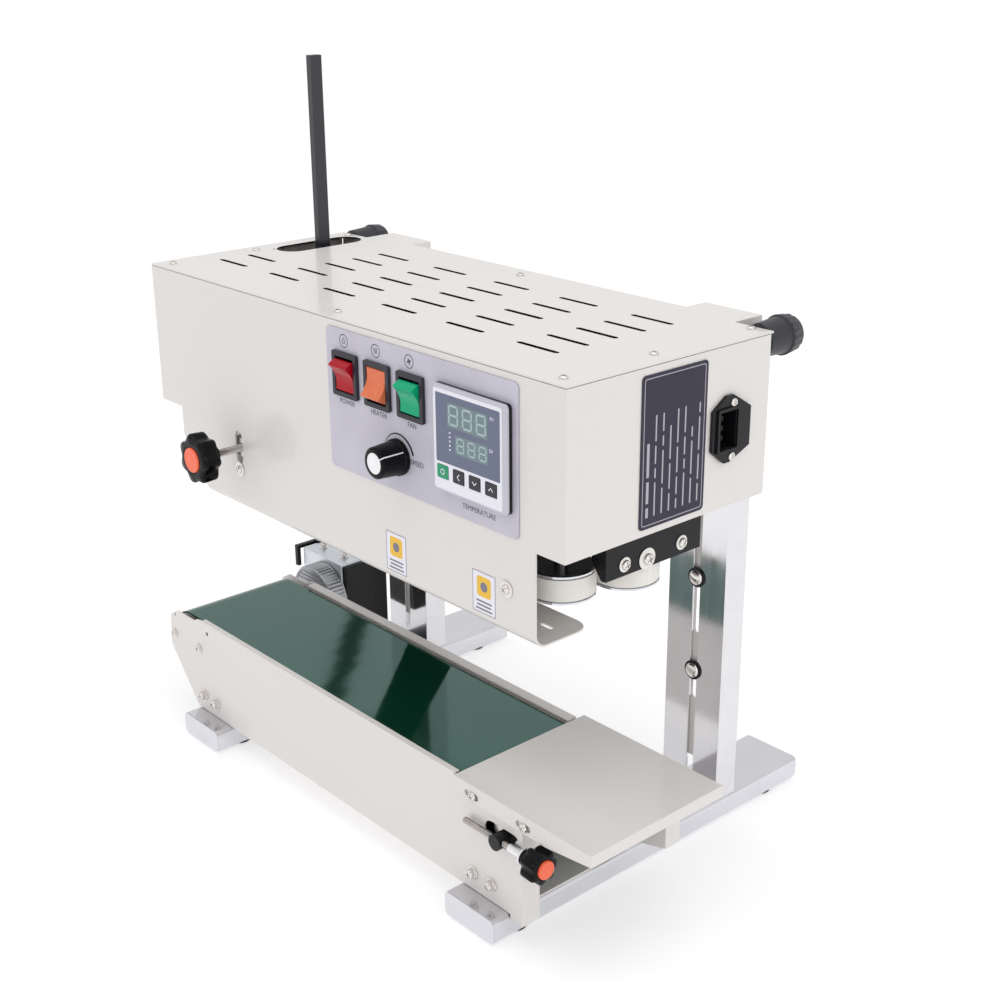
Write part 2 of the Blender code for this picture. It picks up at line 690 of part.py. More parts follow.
def buildConveyorFrame():
    bottom = FOOT_HEIGHT + GAP
    front, back = CONVEYOR_FRONT, CONVEYOR_BACK
    outer = columnCentre(1) + COLUMN_WIDTH / 2 + GAP
    bedTop = ROLLER_HEIGHT + BELT_RADIUS - BELT_THICKNESS - GAP
    right = PLATE_RIGHT
    tension = obround(453.4, ROLLER_HEIGHT, 19.1, 8.0, segments=8)
    frontPlate = prism([
        sideOutline([
            (490.0, 105.4), (490.0, 94.0), (right, 92.5), (right, 14.4), (outer, 14.4),
            (outer, bottom),
        ]),
        tension, circle(11.9, 98.6, 2.0, 12), circle(64.9, 98.0, 2.0, 12),
    ], "y", front, front + SHEET)
    rearPlate = prism([
        sideOutline([
            (498.6, 105.4), (498.6, 37.0), (474.0, 30.5), (outer, bottom),
        ]),
        tension, circle(DRIVE_ROLLER_X, ROLLER_HEIGHT, 7.0, 20),
    ], "y", back - SHEET, back)
    frame = join(
        frontPlate,
        box(42.0, outer - 0.6, front + 0.5, back - 0.5, bottom, bottom + SHEET),
        rearPlate,
        box(57.0, 401.5, front + 0.5, front + 5.0, CONVEYOR_TOP - SHEET, CONVEYOR_TOP),
        box(57.0, 401.5, back - 8.5, back - 0.5, CONVEYOR_TOP - SHEET, CONVEYOR_TOP),
        box(right - SHEET, right, front + 0.5, 2.5, 14.4, 92.0),
        box(62.0, BED_END, front + 0.5, back - 0.5, bedTop - SHEET, bedTop),
        box(497.1, 498.6, back - 0.5, 122.5, 37.0, 95.0),
    )
    part("conveyor_frame", frame, PAINT)


def buildTable():
    """Exit table: a flat tray with turned-down edges, slotted to its two front screws."""
    front = CONVEYOR_FRONT - GAP - SHEET
    top = [(TABLE_LEFT, front), (REACH_RIGHT, front), (REACH_RIGHT, TABLE_BACK),
           (TABLE_LEFT, TABLE_BACK)]
    table = prism([top], "z", TABLE_TOP - SHEET, TABLE_TOP)
    apron = [(TABLE_LEFT, 106.5), (REACH_RIGHT, 106.5), (REACH_RIGHT, 98.5), (500.0, 93.2),
             (TABLE_LEFT, 93.2)]
    slots = [obround(x, 98.9, 7.5, 2.6) for x in TABLE_SLOT_XS]
    join(table, prism([apron] + slots, "y", front, front + SHEET))
    join(table, box(REACH_RIGHT - SHEET, REACH_RIGHT, front + 0.5, TABLE_BACK - 0.5, 97.8, 106.5))
    join(table, box(TABLE_LEFT, REACH_RIGHT, TABLE_BACK - SHEET, TABLE_BACK, 97.8, 106.5))
    part("exit_table", table, PAINT)


def beltOutline(inset):
    """The belt's run: flat over the bed, then down to the smaller idler and straight back."""
    drive, idler = BELT_RADIUS - inset, IDLER_BELT_RADIUS - inset
    lead = Vector((IDLER_X - BED_END, -BELT_RADIUS + inset))
    drop = math.asin(idler / lead.length) + math.atan2(lead.y, lead.x)
    back = math.asin((drive - idler) / (IDLER_X - DRIVE_ROLLER_X))
    points = []
    for x, radius, start, end in (
        (IDLER_X, idler, math.pi / 2 + drop, back - math.pi / 2),
        (DRIVE_ROLLER_X, drive, back - math.pi / 2, -1.5 * math.pi),
    ):
        for i in range(29):
            angle = start + (end - start) * i / 28
            points.append((x + radius * math.cos(angle), ROLLER_HEIGHT + radius * math.sin(angle)))
    points.append((BED_END, ROLLER_HEIGHT + drive))
    return points


def buildBelt():
    belt = prism([beltOutline(0.0), beltOutline(BELT_THICKNESS)], "y", BELT_FRONT, BELT_BACK)
    part("conveyor_belt", belt, BELT_RUBBER)


def buildRollers():
    z = ROLLER_HEIGHT
    inside = BELT_THICKNESS + GAP
    driveRadius, idlerRadius = BELT_RADIUS - inside, IDLER_BELT_RADIUS - inside
    drive = turned(
        [(-11.8, 0.0), (-11.8, 6.0), (BELT_FRONT + 0.5, 6.0), (BELT_FRONT + 0.5, driveRadius),
         (BELT_BACK - 0.5, driveRadius), (BELT_BACK - 0.5, 6.0), (122.7, 6.0), (122.7, 0.0)],
        "y", (DRIVE_ROLLER_X, z), 32,
    )
    part("drive_roller", drive, STEEL, (DRIVE_ROLLER_X, 45.0, z))
    idler = cylinder("y", (IDLER_X, z), idlerRadius, BELT_FRONT + 0.5, BELT_BACK - 0.5, 32)
    cut(idler, cylinder("y", (IDLER_X, z), 6.5, BELT_FRONT - 2, BELT_BACK + 2, 20))
    part("idler_roller", idler, STEEL, (IDLER_X, 45.0, z))
    shaft = cylinder("y", (IDLER_X, z), 6.0, -22.5, 112.0, 24)
    cut(shaft, cylinder("x", (TENSION_Y, z), 2.7, IDLER_X - 9, IDLER_X + 9, 16))
    part("idler_shaft", shaft, BLACK_METAL, (IDLER_X, 45.0, z))


def buildTensionKnob():
    z = ROLLER_HEIGHT
    pivot = (490.0, TENSION_Y, z)
    screw = turned(
        [(417.5, 0.0), (417.5, 1.9), (418.2, 2.4), (466.0, 2.4), (466.0, 3.2), (480.4, 3.2),
         (480.4, 6.6), (482.0, 6.6), (482.0, 4.0), (483.0, 4.0), (483.0, 2.4), (489.0, 2.4),
         (489.0, 0.0)],
        "x", (TENSION_Y, z), 20,
    )
    part("tension_screw", screw, STEEL, pivot)
    knob = prism([starOutline(TENSION_Y, z, 12.9)], "x", 487.0, 502.0)
    join(knob, cylinder("x", (TENSION_Y, z), 7.0, 483.3, 488.0, 24))
    cut(knob, cylinder("x", (TENSION_Y, z), 2.8, 482.0, 489.4, 16))
    cut(knob, cylinder("x", (TENSION_Y, z), 7.4, 500.0, 504.0, 24))
    part("tension_knob", knob, BLACK_PLASTIC, pivot)
    cap = turned([(500.4, 0.0), (500.4, 7.0), (503.0, 7.0), (504.0, 6.0), (504.0, 0.0)],
                 "x", (TENSION_Y, z), 24)
    part("tension_knob_cap", cap, ORANGE, pivot)


def buildBeltDrive():
    """Geared motor behind the conveyor's left end, on an upright plate by the left foot."""
    gearhead = turned(
        [(123.0, 0.0), (123.0, 31.5), (124.0, 32.5), (140.0, 32.5), (140.0, 0.0)],
        "y", (DRIVE_ROLLER_X, ROLLER_HEIGHT), 32,
    )
    part("belt_gearhead", gearhead, ALUMINIUM)
    left, top = DRIVE_PLATE_LEFT, DRIVE_PLATE_TOP
    plate = box(left, 53.0, 140.4, 142.9, FOOT_HEIGHT + GAP, top)
    join(plate, box(left, 53.0, 142.0, 163.0, top - 2.5, top))
    part("motor_plate", plate, ZINC)
    motor = box(left, 56.5, 143.2, 191.0, 43.5, top - 2.5 - GAP)
    part("belt_motor", motor, BLACK_METAL)
    bar = REACH_LEFT, REACH_LEFT + 4.5
    strap = box(*bar, 136.5, 140.1, 95.0, 116.0)
    join(strap, box(*bar, 136.5, 162.0, 112.5, 116.0))
    join(strap, box(REACH_LEFT, left - GAP, 158.0, 162.0, 112.5, 116.0))
    part("motor_strap", strap, BLACK_METAL)


def build():
    for label, side in (("left", -1), ("right", 1)):
        buildFoot(f"{label}_foot", side)
        buildColumn(f"{label}_column", side)
        buildStrap(f"{label}_strap", side)
        for level, z in BOLT_HEIGHTS.items():
            buildColumnBolt(f"{label}_bolt_{level}", side, z)
    buildHeadShell()
    buildHeadFrame()
    buildTopCover()
    buildLever()
    buildControlPlate()
    for colour in ROCKER_XS:
        buildRocker(colour)
    buildSpeedKnob()
    buildController()
    buildInlet()
    buildRatingPlate()
    buildPressureKnob()
    buildWheel("front_drive_wheel", DRIVE_X, FRONT_LINE, geared=True, phase=0.0)
    buildWheel("rear_drive_wheel", DRIVE_X, REAR_LINE, geared=True, phase=0.5)
    buildWheel("front_exit_wheel", FRONT_EXIT_X, FRONT_LINE)
    buildWheel("rear_exit_wheel", REAR_EXIT_X, REAR_LINE)
    buildBand("front_band", FRONT_EXIT_X, FRONT_LINE)
    buildBand("rear_band", REAR_EXIT_X, REAR_LINE)
    for label, line, inward in (("front", FRONT_LINE, 1), ("rear", REAR_LINE, -1)):
        buildJawBlock(f"{label}_heater", 170.0, 260.0, line, inward, BRASS)
        buildJawBlock(f"{label}_cooler", 290.0, 350.0, line, inward, ALUMINIUM, fins=5)
    buildExitBracket()
    buildHeadMotor()
    buildBumper("left_bumper", 12.6)
    buildBumper("right_bumper", HEAD_LENGTH - 12.6)
    buildConveyorFrame()
    buildTable()
    buildBelt()
    buildRollers()
    buildTensionKnob()
    buildBeltDrive()


build()
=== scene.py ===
# Looks for the band sealer. Lengths in the dictionaries are millimetres in the machine's own axes:
# x from the head's left end, y back from its front panel, z up from the feet's undersides.
import math

import bmesh
import bpy
from mathutils import Matrix, Vector


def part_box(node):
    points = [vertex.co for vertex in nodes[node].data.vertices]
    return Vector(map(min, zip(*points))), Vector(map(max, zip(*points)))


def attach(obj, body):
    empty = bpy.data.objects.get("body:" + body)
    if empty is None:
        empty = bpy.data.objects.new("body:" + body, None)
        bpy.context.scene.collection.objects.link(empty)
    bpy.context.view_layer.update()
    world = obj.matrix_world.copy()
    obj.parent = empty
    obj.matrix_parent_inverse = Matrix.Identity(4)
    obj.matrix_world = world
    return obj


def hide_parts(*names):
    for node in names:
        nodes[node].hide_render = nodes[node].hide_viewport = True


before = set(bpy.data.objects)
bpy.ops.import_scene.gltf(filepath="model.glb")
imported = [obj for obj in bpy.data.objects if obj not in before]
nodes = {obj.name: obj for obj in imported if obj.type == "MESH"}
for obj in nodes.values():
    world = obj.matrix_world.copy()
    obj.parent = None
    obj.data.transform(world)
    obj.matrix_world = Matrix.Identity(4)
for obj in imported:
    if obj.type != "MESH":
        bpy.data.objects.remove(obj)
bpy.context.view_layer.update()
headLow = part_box("head_shell")[0]
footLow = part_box("left_foot")[0]
tau = math.tau
print("frame loaded:", len(nodes), "nodes")


def at(x, y, z):
    return Vector((headLow.x + x / 1000, headLow.y + y / 1000, footLow.z + (z + 2.5) / 1000))


# camera, light and floor

view = {"place": (1139.5, -620.1, 677.1), "azimuth": 48.511, "elevation": 20.691, "roll": -0.45,
        "lens": 54.85}
studio = {"world": 0.84, "over": 7.5, "front": 0.6, "side": 3.6, "floor": (0.60, 0.60, 0.605), "glow": 0.5}
# dark flags seen only in glossy surfaces: corners of each, metres
flags = {
    "narrowFlag": ((-2.48, 1.45, 1.79), (-2.44, 1.49, 1.81), (-2.57, 1.80, 1.44), (-2.62, 1.77, 1.41)),
    "wideFlag": ((-0.089, -0.008, 0.129), (-0.031, -0.008, 0.131), (-0.091, -0.008, 0.229),
                 (-0.147, -0.008, 0.230)),
}


def makeCamera():
    data = bpy.data.cameras.new("camera")
    data.lens = view["lens"]
    data.sensor_width = 36
    data.clip_start = 0.05
    data.clip_end = 40
    cam = bpy.data.objects.new("camera", data)
    bpy.context.scene.collection.objects.link(cam)
    a, e, r = (math.radians(view[k]) for k in ("azimuth", "elevation", "roll"))
    back = Vector((math.sin(a) * math.cos(e), -math.cos(a) * math.cos(e), math.sin(e)))
    level = (-back).cross(Vector((0, 0, 1))).normalized()
    rise = level.cross(-back)
    right = level * math.cos(r) + rise * math.sin(r)
    up = rise * math.cos(r) - level * math.sin(r)
    turn = Matrix((right, up, back)).transposed().to_4x4()
    cam.matrix_world = Matrix.Translation(at(*view["place"])) @ turn
    bpy.context.scene.camera = cam


def makeLight(name, place, target, width, height, power):
    data = bpy.data.lights.new(name, "AREA")
    data.shape = "RECTANGLE"
    data.size = width
    data.size_y = height
    data.energy = power
    lamp = bpy.data.objects.new(name, data)
    bpy.context.scene.collection.objects.link(lamp)
    lamp.location = place
    lamp.rotation_euler = (Vector(target) - Vector(place)).to_track_quat("-Z", "Y").to_euler()


def makeStudio():
    world = bpy.data.worlds.new("studio")
    bpy.context.scene.world = world
    world.use_nodes = True
    sky = world.node_tree.nodes["Background"]
    sky.inputs["Color"].default_value = (1, 1, 1, 1)
    sky.inputs["Strength"].default_value = studio["world"]
    bpy.context.scene.view_settings.view_transform = "Standard"
    makeLight("overheadSoftbox", (0.1, -0.2, 1.9), (0, 0, 0.3), 1.6, 1.2, studio["over"])
    makeLight("frontSoftbox", (-0.9, -1.9, 1.0), (0, 0, 0.3), 1.2, 1.2, studio["front"])
    makeLight("sideSoftbox", (2.1, -0.3, 0.9), (0, 0, 0.3), 1.2, 1.4, studio["side"])
    bm = bmesh.new()
    bmesh.ops.create_grid(bm, x_segments=1, y_segments=1, size=60)
    mesh = bpy.data.meshes.new("floor")
    bm.to_mesh(mesh)
    floor = bpy.data.objects.new("floor", mesh)
    bpy.context.scene.collection.objects.link(floor)
    floor.location.z = footLow.z - 0.0003
    floor.data.materials.append(paleFloor())
    for name, corners in flags.items():
        bm = bmesh.new()
        bm.faces.new([bm.verts.new(corner) for corner in corners])
        mesh = bpy.data.meshes.new(name)
        bm.to_mesh(mesh)
        bm.free()
        flag = bpy.data.objects.new(name, mesh)
        bpy.context.scene.collection.objects.link(flag)
        flag.data.materials.append(skins["flag"])
        flag.visible_camera = flag.visible_diffuse = flag.visible_shadow = False


# shader sums


class Flow:  # one output socket that can be added, scaled and mixed
    def __init__(self, tree, socket=None):
        self.tree = tree
        self.socket = socket

    def make(self, kind, settings=None, values=None, out=0):
        node = self.tree.nodes.new(kind)
        for name, value in (settings or {}).items():
            if name == "stops":
                ramp = node.color_ramp.elements
                while len(ramp) < len(value):
                    ramp.new(1)
                for element, (place, colour) in zip(ramp, value):
                    element.position = place
                    element.color = colour
            else:
                setattr(node, name, value)
        for key, value in (values or {}).items():
            if isinstance(value, Flow):
                self.tree.links.new(value.socket, node.inputs[key])
            else:
                node.inputs[key].default_value = value
        return Flow(self.tree, node.outputs[out])

    def sum(self, operation, first, second):
        return self.make("ShaderNodeMath", {"operation": operation}, {0: first, 1: second})

    def __add__(self, other):
        return self.sum("ADD", self, other)

    def __radd__(self, other):
        return self.sum("ADD", other, self)

    def __sub__(self, other):
        return self.sum("SUBTRACT", self, other)

    def __rsub__(self, other):
        return self.sum("SUBTRACT", other, self)

    def __mul__(self, other):
        return self.sum("MULTIPLY", self, other)

    def __rmul__(self, other):
        return self.sum("MULTIPLY", other, self)

    def tint(self, low, high):
        ends = {0: self, 6: (*low, 1), 7: (*high, 1)}
        return self.make("ShaderNodeMix", {"data_type": "RGBA"}, ends, out=2)

    def stretched(self, x, y, z):
        return self.make("ShaderNodeVectorMath", {"operation": "MULTIPLY"}, {0: self, 1: (x, y, z)})

    def noise(self, scale, detail=2.0, rough=0.5):
        values = {"Vector": self, "Scale": scale, "Detail": detail, "Roughness": rough}
        return self.make("ShaderNodeTexNoise", None, values)

    def clipped(self, low, high):
        return self.make("ShaderNodeMapRange", None, {0: self, 1: low, 2: high, 3: 0.0, 4: 1.0})

    def bump(self, depth, strength=1.0):
        return self.make("ShaderNodeBump", None, {"Height": self, "Distance": depth, "Strength": strength})


def shader(name, constants):
    mat = bpy.data.materials.new(name)
    mat.use_nodes = True
    principled = mat.node_tree.nodes["Principled BSDF"]
    for key, value in constants.items():
        principled.inputs[key].default_value = value
    flow = Flow(mat.node_tree)
    place = flow.make("ShaderNodeTexCoord", out=3)

    def feed(**links):
        for key, value in links.items():
            mat.node_tree.links.new(value.socket, principled.inputs[key.replace("_", " ")])
        return mat

    return place, feed


def lighter(colour, share):
    return tuple(min(1.0, c * share) for c in colour)


# finishes


def powderPaint(name, colour, rough=0.36, peel=0.00003, coat=0.35, shine=0.5):
    place, feed = shader(name, {"Coat Weight": coat, "Coat Roughness": 0.06, "Specular IOR Level": shine})
    cloud = place.noise(7.0, 3.0)
    grain = place.noise(900.0, 2.0)
    return feed(
        Base_Color=(cloud * 0.6 + grain * 0.4).tint(lighter(colour, 0.965), lighter(colour, 1.025)),
        Roughness=rough - 0.05 + place.noise(40.0, 3.0) * 0.1,
        Normal=grain.bump(peel, 0.35),
    )


def platedSteel(name, colour, rough=0.1, along=(1, 1, 1), wave=0.00025):
    place, feed = shader(name, {"Metallic": 1.0})
    lines = place.stretched(*along).noise(260.0, 4.0, 0.6)
    cloud = place.noise(30.0, 4.0, 0.6)
    ripple = place.noise(22.0, 1.0)
    return feed(
        Base_Color=cloud.tint(lighter(colour, 0.9), lighter(colour, 1.05)),
        Roughness=lines * 0.12 + cloud * 0.08 + (rough - 0.07),
        Normal=(ripple + lines * 0.02).bump(wave, 0.5),
    )


def machined(name, colour, rough=0.28):
    place, feed = shader(name, {"Metallic": 1.0})
    cuts = place.stretched(1, 1, 6).noise(420.0, 3.0, 0.6)
    cloud = place.noise(120.0, 3.0)
    return feed(
        Base_Color=cloud.tint(lighter(colour, 0.85), lighter(colour, 1.08)),
        Roughness=cuts * 0.14 + (rough - 0.07),
        Normal=cuts.bump(0.00003, 0.4),
    )


def moulded(name, colour, rough=0.35, texture=0.00002, coat=0.0, shine=0.5):
    place, feed = shader(name, {"Coat Weight": coat, "Coat Roughness": 0.08, "Specular IOR Level": shine})
    grain = place.noise(1600.0, 2.0)
    cloud = place.noise(35.0, 3.0)
    return feed(
        Base_Color=cloud.tint(lighter(colour, 0.88), lighter(colour, 1.12)),
        Roughness=grain * 0.1 + cloud * 0.06 + (rough - 0.08),
        Normal=grain.bump(texture, 0.4),
    )


def lampPlastic(name, colour, deep):
    place, feed = shader(name, {"Coat Roughness": 0.05, "Subsurface Weight": 0.05, "Subsurface Scale": 0.002,
                                "Specular IOR Level": 0.2})
    prisms = place.noise(500.0, 1.0)
    return feed(
        Base_Color=(place.noise(90.0, 2.0) * 0.6 + prisms * 0.4).tint(deep, colour),
        Roughness=prisms * 0.1 + 0.16,
        Normal=prisms.bump(0.00003, 0.5),
    )


def beltFinish(name, colour):
    place, feed = shader(name, {"IOR": 1.85, "Specular Tint": (0.45, 1.0, 0.93, 1)})
    weave = place.make("ShaderNodeTexWave", {"wave_type": "BANDS", "bands_direction": "Y"},
                       {"Vector": place, "Scale": 420.0, "Distortion": 0.4}, out=1)
    slack = place.stretched(1.0, 0.35, 1.0).noise(16.0, 2.0)
    scuff = place.stretched(1, 12, 1).noise(60.0, 5.0, 0.7).clipped(0.52, 0.8)
    return feed(
        Base_Color=(place.noise(14.0, 4.0) * 0.7 + scuff * 0.3).tint(
            lighter(colour, 0.85), lighter(colour, 1.3)),
        Roughness=0.06 + scuff * 0.05 + weave * 0.01,
        Normal=slack.bump(0.00025, 0.6),
    )


def wovenBand(name, colour):
    place, feed = shader(name, {"Sheen Weight": 0.2})
    warp = place.make("ShaderNodeTexWave", {"wave_type": "BANDS", "bands_direction": "Z"},
                      {"Vector": place, "Scale": 600.0, "Distortion": 0.6}, out=1)
    weft = place.make("ShaderNodeTexWave", {"wave_type": "BANDS", "bands_direction": "X"},
                      {"Vector": place, "Scale": 600.0, "Distortion": 0.6}, out=1)
    cloth = warp * 0.5 + weft * 0.5
    return feed(
        Base_Color=(cloth * 0.5 + place.noise(60.0, 3.0) * 0.5).tint(
            lighter(colour, 0.82), lighter(colour, 1.08)),
        Roughness=0.42 + cloth * 0.14,
        Normal=cloth.bump(0.00008, 0.6),
    )


def inkPrint(name, colour, rough=0.45):
    place, feed = shader(name, {"Specular IOR Level": 0.35})
    speck = place.noise(2200.0, 1.0)
    return feed(
        Base_Color=speck.tint(lighter(colour, 0.9), lighter(colour, 1.1)),
        Roughness=rough - 0.04 + speck * 0.08,
    )


# painted glow: the display is unlit, but its segments are given a faint emission
def paintedGlowSegment(name, colour):
    place, feed = shader(name, {"Emission Strength": 0.06})
    glow = place.noise(300.0, 2.0)
    return feed(
        Base_Color=glow.tint(lighter(colour, 0.9), lighter(colour, 1.05)),
        Emission_Color=glow.tint(lighter(colour, 0.8), colour),
        Roughness=0.3 + glow * 0.1,
    )


def paleFloor():
    place, feed = shader("paleFloor", {"Specular IOR Level": 0.1, "Emission Color": (1, 1, 1, 1),
                                       "Emission Strength": studio["glow"]})
    cloud = place.noise(2.0, 2.0)
    return feed(
        Base_Color=cloud.tint(lighter(studio["floor"], 0.99), lighter(studio["floor"], 1.01)),
        Roughness=0.6 + cloud * 0.1,
    )


skins = {
    "ivory": powderPaint("ivoryPaint", (0.72, 0.69, 0.67)),
    "chrome": platedSteel("chromePlate", (0.72, 0.72, 0.76), 0.09, (1, 0.04, 1)),
    "columnChrome": platedSteel("columnPlate", (0.76, 0.75, 0.77), 0.08, (1, 1, 0.04)),
    "steel": machined("turnedSteel", (0.72, 0.71, 0.70), 0.24),
    "screw": machined("nickelScrew", (0.76, 0.73, 0.70), 0.13),
    "thread": machined("threadSteel", (0.46, 0.43, 0.41), 0.26),
    "zinc": machined("zincPlate", (0.70, 0.73, 0.77), 0.34),
    "brass": machined("heaterBrass", (0.72, 0.53, 0.26), 0.34),
    "aluminium": machined("castAluminium", (0.74, 0.75, 0.77), 0.4),
    "black": moulded("blackPlastic", (0.008, 0.008, 0.010), 0.3, shine=0.25),
    "knob": moulded("knobPlastic", (0.003, 0.003, 0.004), 0.18, 0.00001, shine=0.14),
    "charcoal": moulded("charcoalPlastic", (0.030, 0.028, 0.038), 0.36, shine=0.3),
    "blackMetal": powderPaint("blackLacquer", (0.008, 0.008, 0.010), 0.26, coat=0.0, shine=0.22),
    "leverBlack": powderPaint("leverOxide", (0.018, 0.018, 0.026), 0.34, coat=0.2),
    "rubber": moulded("bumperRubber", (0.022, 0.022, 0.030), 0.42, 0.00004),
    "belt": beltFinish("greenBelt", (0.003, 0.034, 0.019)),
    "flag": moulded("flagCloth", (0.002, 0.002, 0.002), 1.0, shine=0.0),
    "band": wovenBand("sealingCloth", (0.82, 0.79, 0.74)),
    "panel": moulded("panelFoil", (0.535, 0.515, 0.60), 0.42),
    "orange": moulded("orangeCap", (0.90, 0.13, 0.045), 0.36, 0.00001, 0.2),
    "red": lampPlastic("redRocker", (0.48, 0.002, 0.016), (0.34, 0.001, 0.004)),
    "amber": lampPlastic("amberRocker", (0.80, 0.27, 0.15), (0.66, 0.10, 0.02)),
    "green": lampPlastic("greenRocker", (0.002, 0.44, 0.22), (0.001, 0.32, 0.14)),
    "label": moulded("labelFilm", (0.034, 0.031, 0.055), 0.3, shine=0.2),
    "white": inkPrint("whiteInk", (0.80, 0.79, 0.86)),
    "grey": moulded("greyFrame", (0.52, 0.51, 0.58), 0.36),
    "ink": inkPrint("blackInk", (0.03, 0.03, 0.035)),
    "greyInk": inkPrint("greyInk", (0.20, 0.19, 0.24)),
    "paleInk": inkPrint("paleInk", (0.42, 0.41, 0.45)),
    "yellow": inkPrint("yellowInk", (0.82, 0.50, 0.05)),
    "satin": machined("satinDisc", (0.86, 0.86, 0.88), 0.3),
    "cream": moulded("creamDisc", (0.74, 0.71, 0.65), 0.4),
    "gunmetal": machined("gunmetalDrum", (0.40, 0.41, 0.43), 0.34),
    "glassBlue": moulded("windowGlass", (0.115, 0.135, 0.215), 0.14, 0.000002, 0.25, 0.35),
    "displayGlow": moulded("displayShade", (0.17, 0.225, 0.25), 0.2, 0.000002, shine=0.35),
    "lit": paintedGlowSegment("paintedGlowSegment", (0.34, 0.46, 0.46)),
    "keyGreen": moulded("greenKey", (0.02, 0.30, 0.15), 0.34, shine=0.3),
}
print("finishes made:", len(skins))

makeCamera()
makeStudio()


# mesh tools

axisTurns = {
    "x": Matrix(((0, 0, 1), (1, 0, 0), (0, 1, 0))).to_4x4(),
    "y": Matrix(((1, 0, 0), (0, 0, 1), (0, 1, 0))).to_4x4(),
    "z": Matrix.Identity(4),
}


def finishPiece(name, bm, body, skin, bevel=0.0, segments=2, smooth=32, stands=()):
    bmesh.ops.remove_doubles(bm, verts=bm.verts, dist=0.0005)
    bmesh.ops.recalc_face_normals(bm, faces=bm.faces)
    for vert in bm.verts:
        vert.co = at(*vert.co)
    mesh = bpy.data.meshes.new(name)
    bm.to_mesh(mesh)
    bm.free()
    mesh.shade_smooth()
    mesh.set_sharp_from_angle(angle=math.radians(smooth))
    piece = bpy.data.objects.new(name, mesh)
    bpy.context.scene.collection.objects.link(piece)
    mesh.materials.append(skins[skin])
    if bevel:
        edge = piece.modifiers.new("edge", "BEVEL")
        edge.width = bevel / 1000
        edge.segments = segments
        edge.limit_method = "ANGLE"
        edge.angle_limit = math.radians(32)
        edge.harden_normals = True
    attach(piece, body)
    if stands:
        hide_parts(*stands)
    return piece


def slab(loops, axis, start, end):
    curve = bpy.data.curves.new("outline", "CURVE")
    curve.dimensions = "2D"
    curve.fill_mode = "BOTH"
    curve.extrude = abs(end - start) / 2
    for loop in loops:
        spline = curve.splines.new("POLY")
        spline.points.add(len(loop) - 1)
        for point, (u, v) in zip(spline.points, loop):
            point.co = (u, v, 0, 1)
        spline.use_cyclic_u = True
    holder = bpy.data.objects.new("outline", curve)
    mesh = bpy.data.meshes.new_from_object(holder)
    bpy.data.objects.remove(holder, do_unlink=True)
    bm = bmesh.new()
    bm.from_mesh(mesh)
    bpy.data.meshes.remove(mesh)
    bmesh.ops.remove_doubles(bm, verts=bm.verts, dist=0.0005)
    bm.transform(axisTurns[axis] @ Matrix.Translation((0, 0, (start + end) / 2)))
    return bm


def block(x0, x1, y0, y1, z0, z1):
    bm = bmesh.new()
    bmesh.ops.create_cube(bm, size=1.0)
    bm.transform(Matrix.Translation(((x0 + x1) / 2, (y0 + y1) / 2, (z0 + z1) / 2))
                 @ Matrix.Diagonal((x1 - x0, y1 - y0, z1 - z0, 1)))
    return bm


def rings(axis, centre, stations, lobes=0, steps=64):
    # each station is (distance along the axis, radius, height of the lobes); both ends are capped
    bm = bmesh.new()
    loops = []
    for along, radius, wave in stations:
        loop = []
        for i in range(steps):
            angle = tau * i / steps
            reach = radius + wave * math.cos(lobes * angle)
            loop.append(bm.verts.new((reach * math.cos(angle), reach * math.sin(angle), along)))
        loops.append(loop)
    for low, high in zip(loops, loops[1:]):
        for i in range(steps):
            j = (i + 1) % steps
            bm.faces.new((low[i], low[j], high[j], high[i]))
    bm.faces.new(loops[0])
    bm.faces.new(loops[-1])
    spot = {"x": (0, *centre), "y": (centre[0], 0, centre[1]), "z": (*centre, 0)}[axis]
    bm.transform(Matrix.Translation(spot) @ axisTurns[axis])
    return bm


def spun(axis, centre, profile, steps=48):
    return rings(axis, centre, [(along, radius, 0) for along, radius in profile], 0, steps)


def together(*parts):
    whole = bmesh.new()
    for bm in parts:
        mesh = bpy.data.meshes.new("part")
        bm.to_mesh(mesh)
        bm.free()
        whole.from_mesh(mesh)
        bpy.data.meshes.remove(mesh)
    return whole


def carved(bm, *cutters, operation="DIFFERENCE"):
    def holder(source):
        mesh = bpy.data.meshes.new("carve")
        bmesh.ops.recalc_face_normals(source, faces=source.faces)
        source.to_mesh(mesh)
        source.free()
        obj = bpy.data.objects.new("carve", mesh)
        bpy.context.scene.collection.objects.link(obj)
        return obj

    target = holder(bm)
    tools = [holder(cutter) for cutter in cutters]
    for tool in tools:
        change = target.modifiers.new("carve", "BOOLEAN")
        change.operation = operation
        change.object = tool
        change.solver = "EXACT"
    bpy.context.view_layer.update()
    result = bmesh.new()
    result.from_object(target, bpy.context.evaluated_depsgraph_get())
    for obj in [target, *tools]:
        bpy.data.objects.remove(obj, do_unlink=True)
    return result


def ringLoop(u, v, radius, steps=32):
    angles = [tau * i / steps for i in range(steps)]
    return [(u + radius * math.cos(angle), v + radius * math.sin(angle)) for angle in angles]


def roundBox(u0, u1, v0, v1, radius, steps=6):
    points = []
    for u, v, turn in ((u1, v1, 0), (u0, v1, 90), (u0, v0, 180), (u1, v0, 270)):
        inU = u - radius if u == u1 else u + radius
        inV = v - radius if v == v1 else v + radius
        for i in range(steps + 1):
            angle = math.radians(turn + 90 * i / steps)
            points.append((inU + radius * math.cos(angle), inV + radius * math.sin(angle)))
    return points


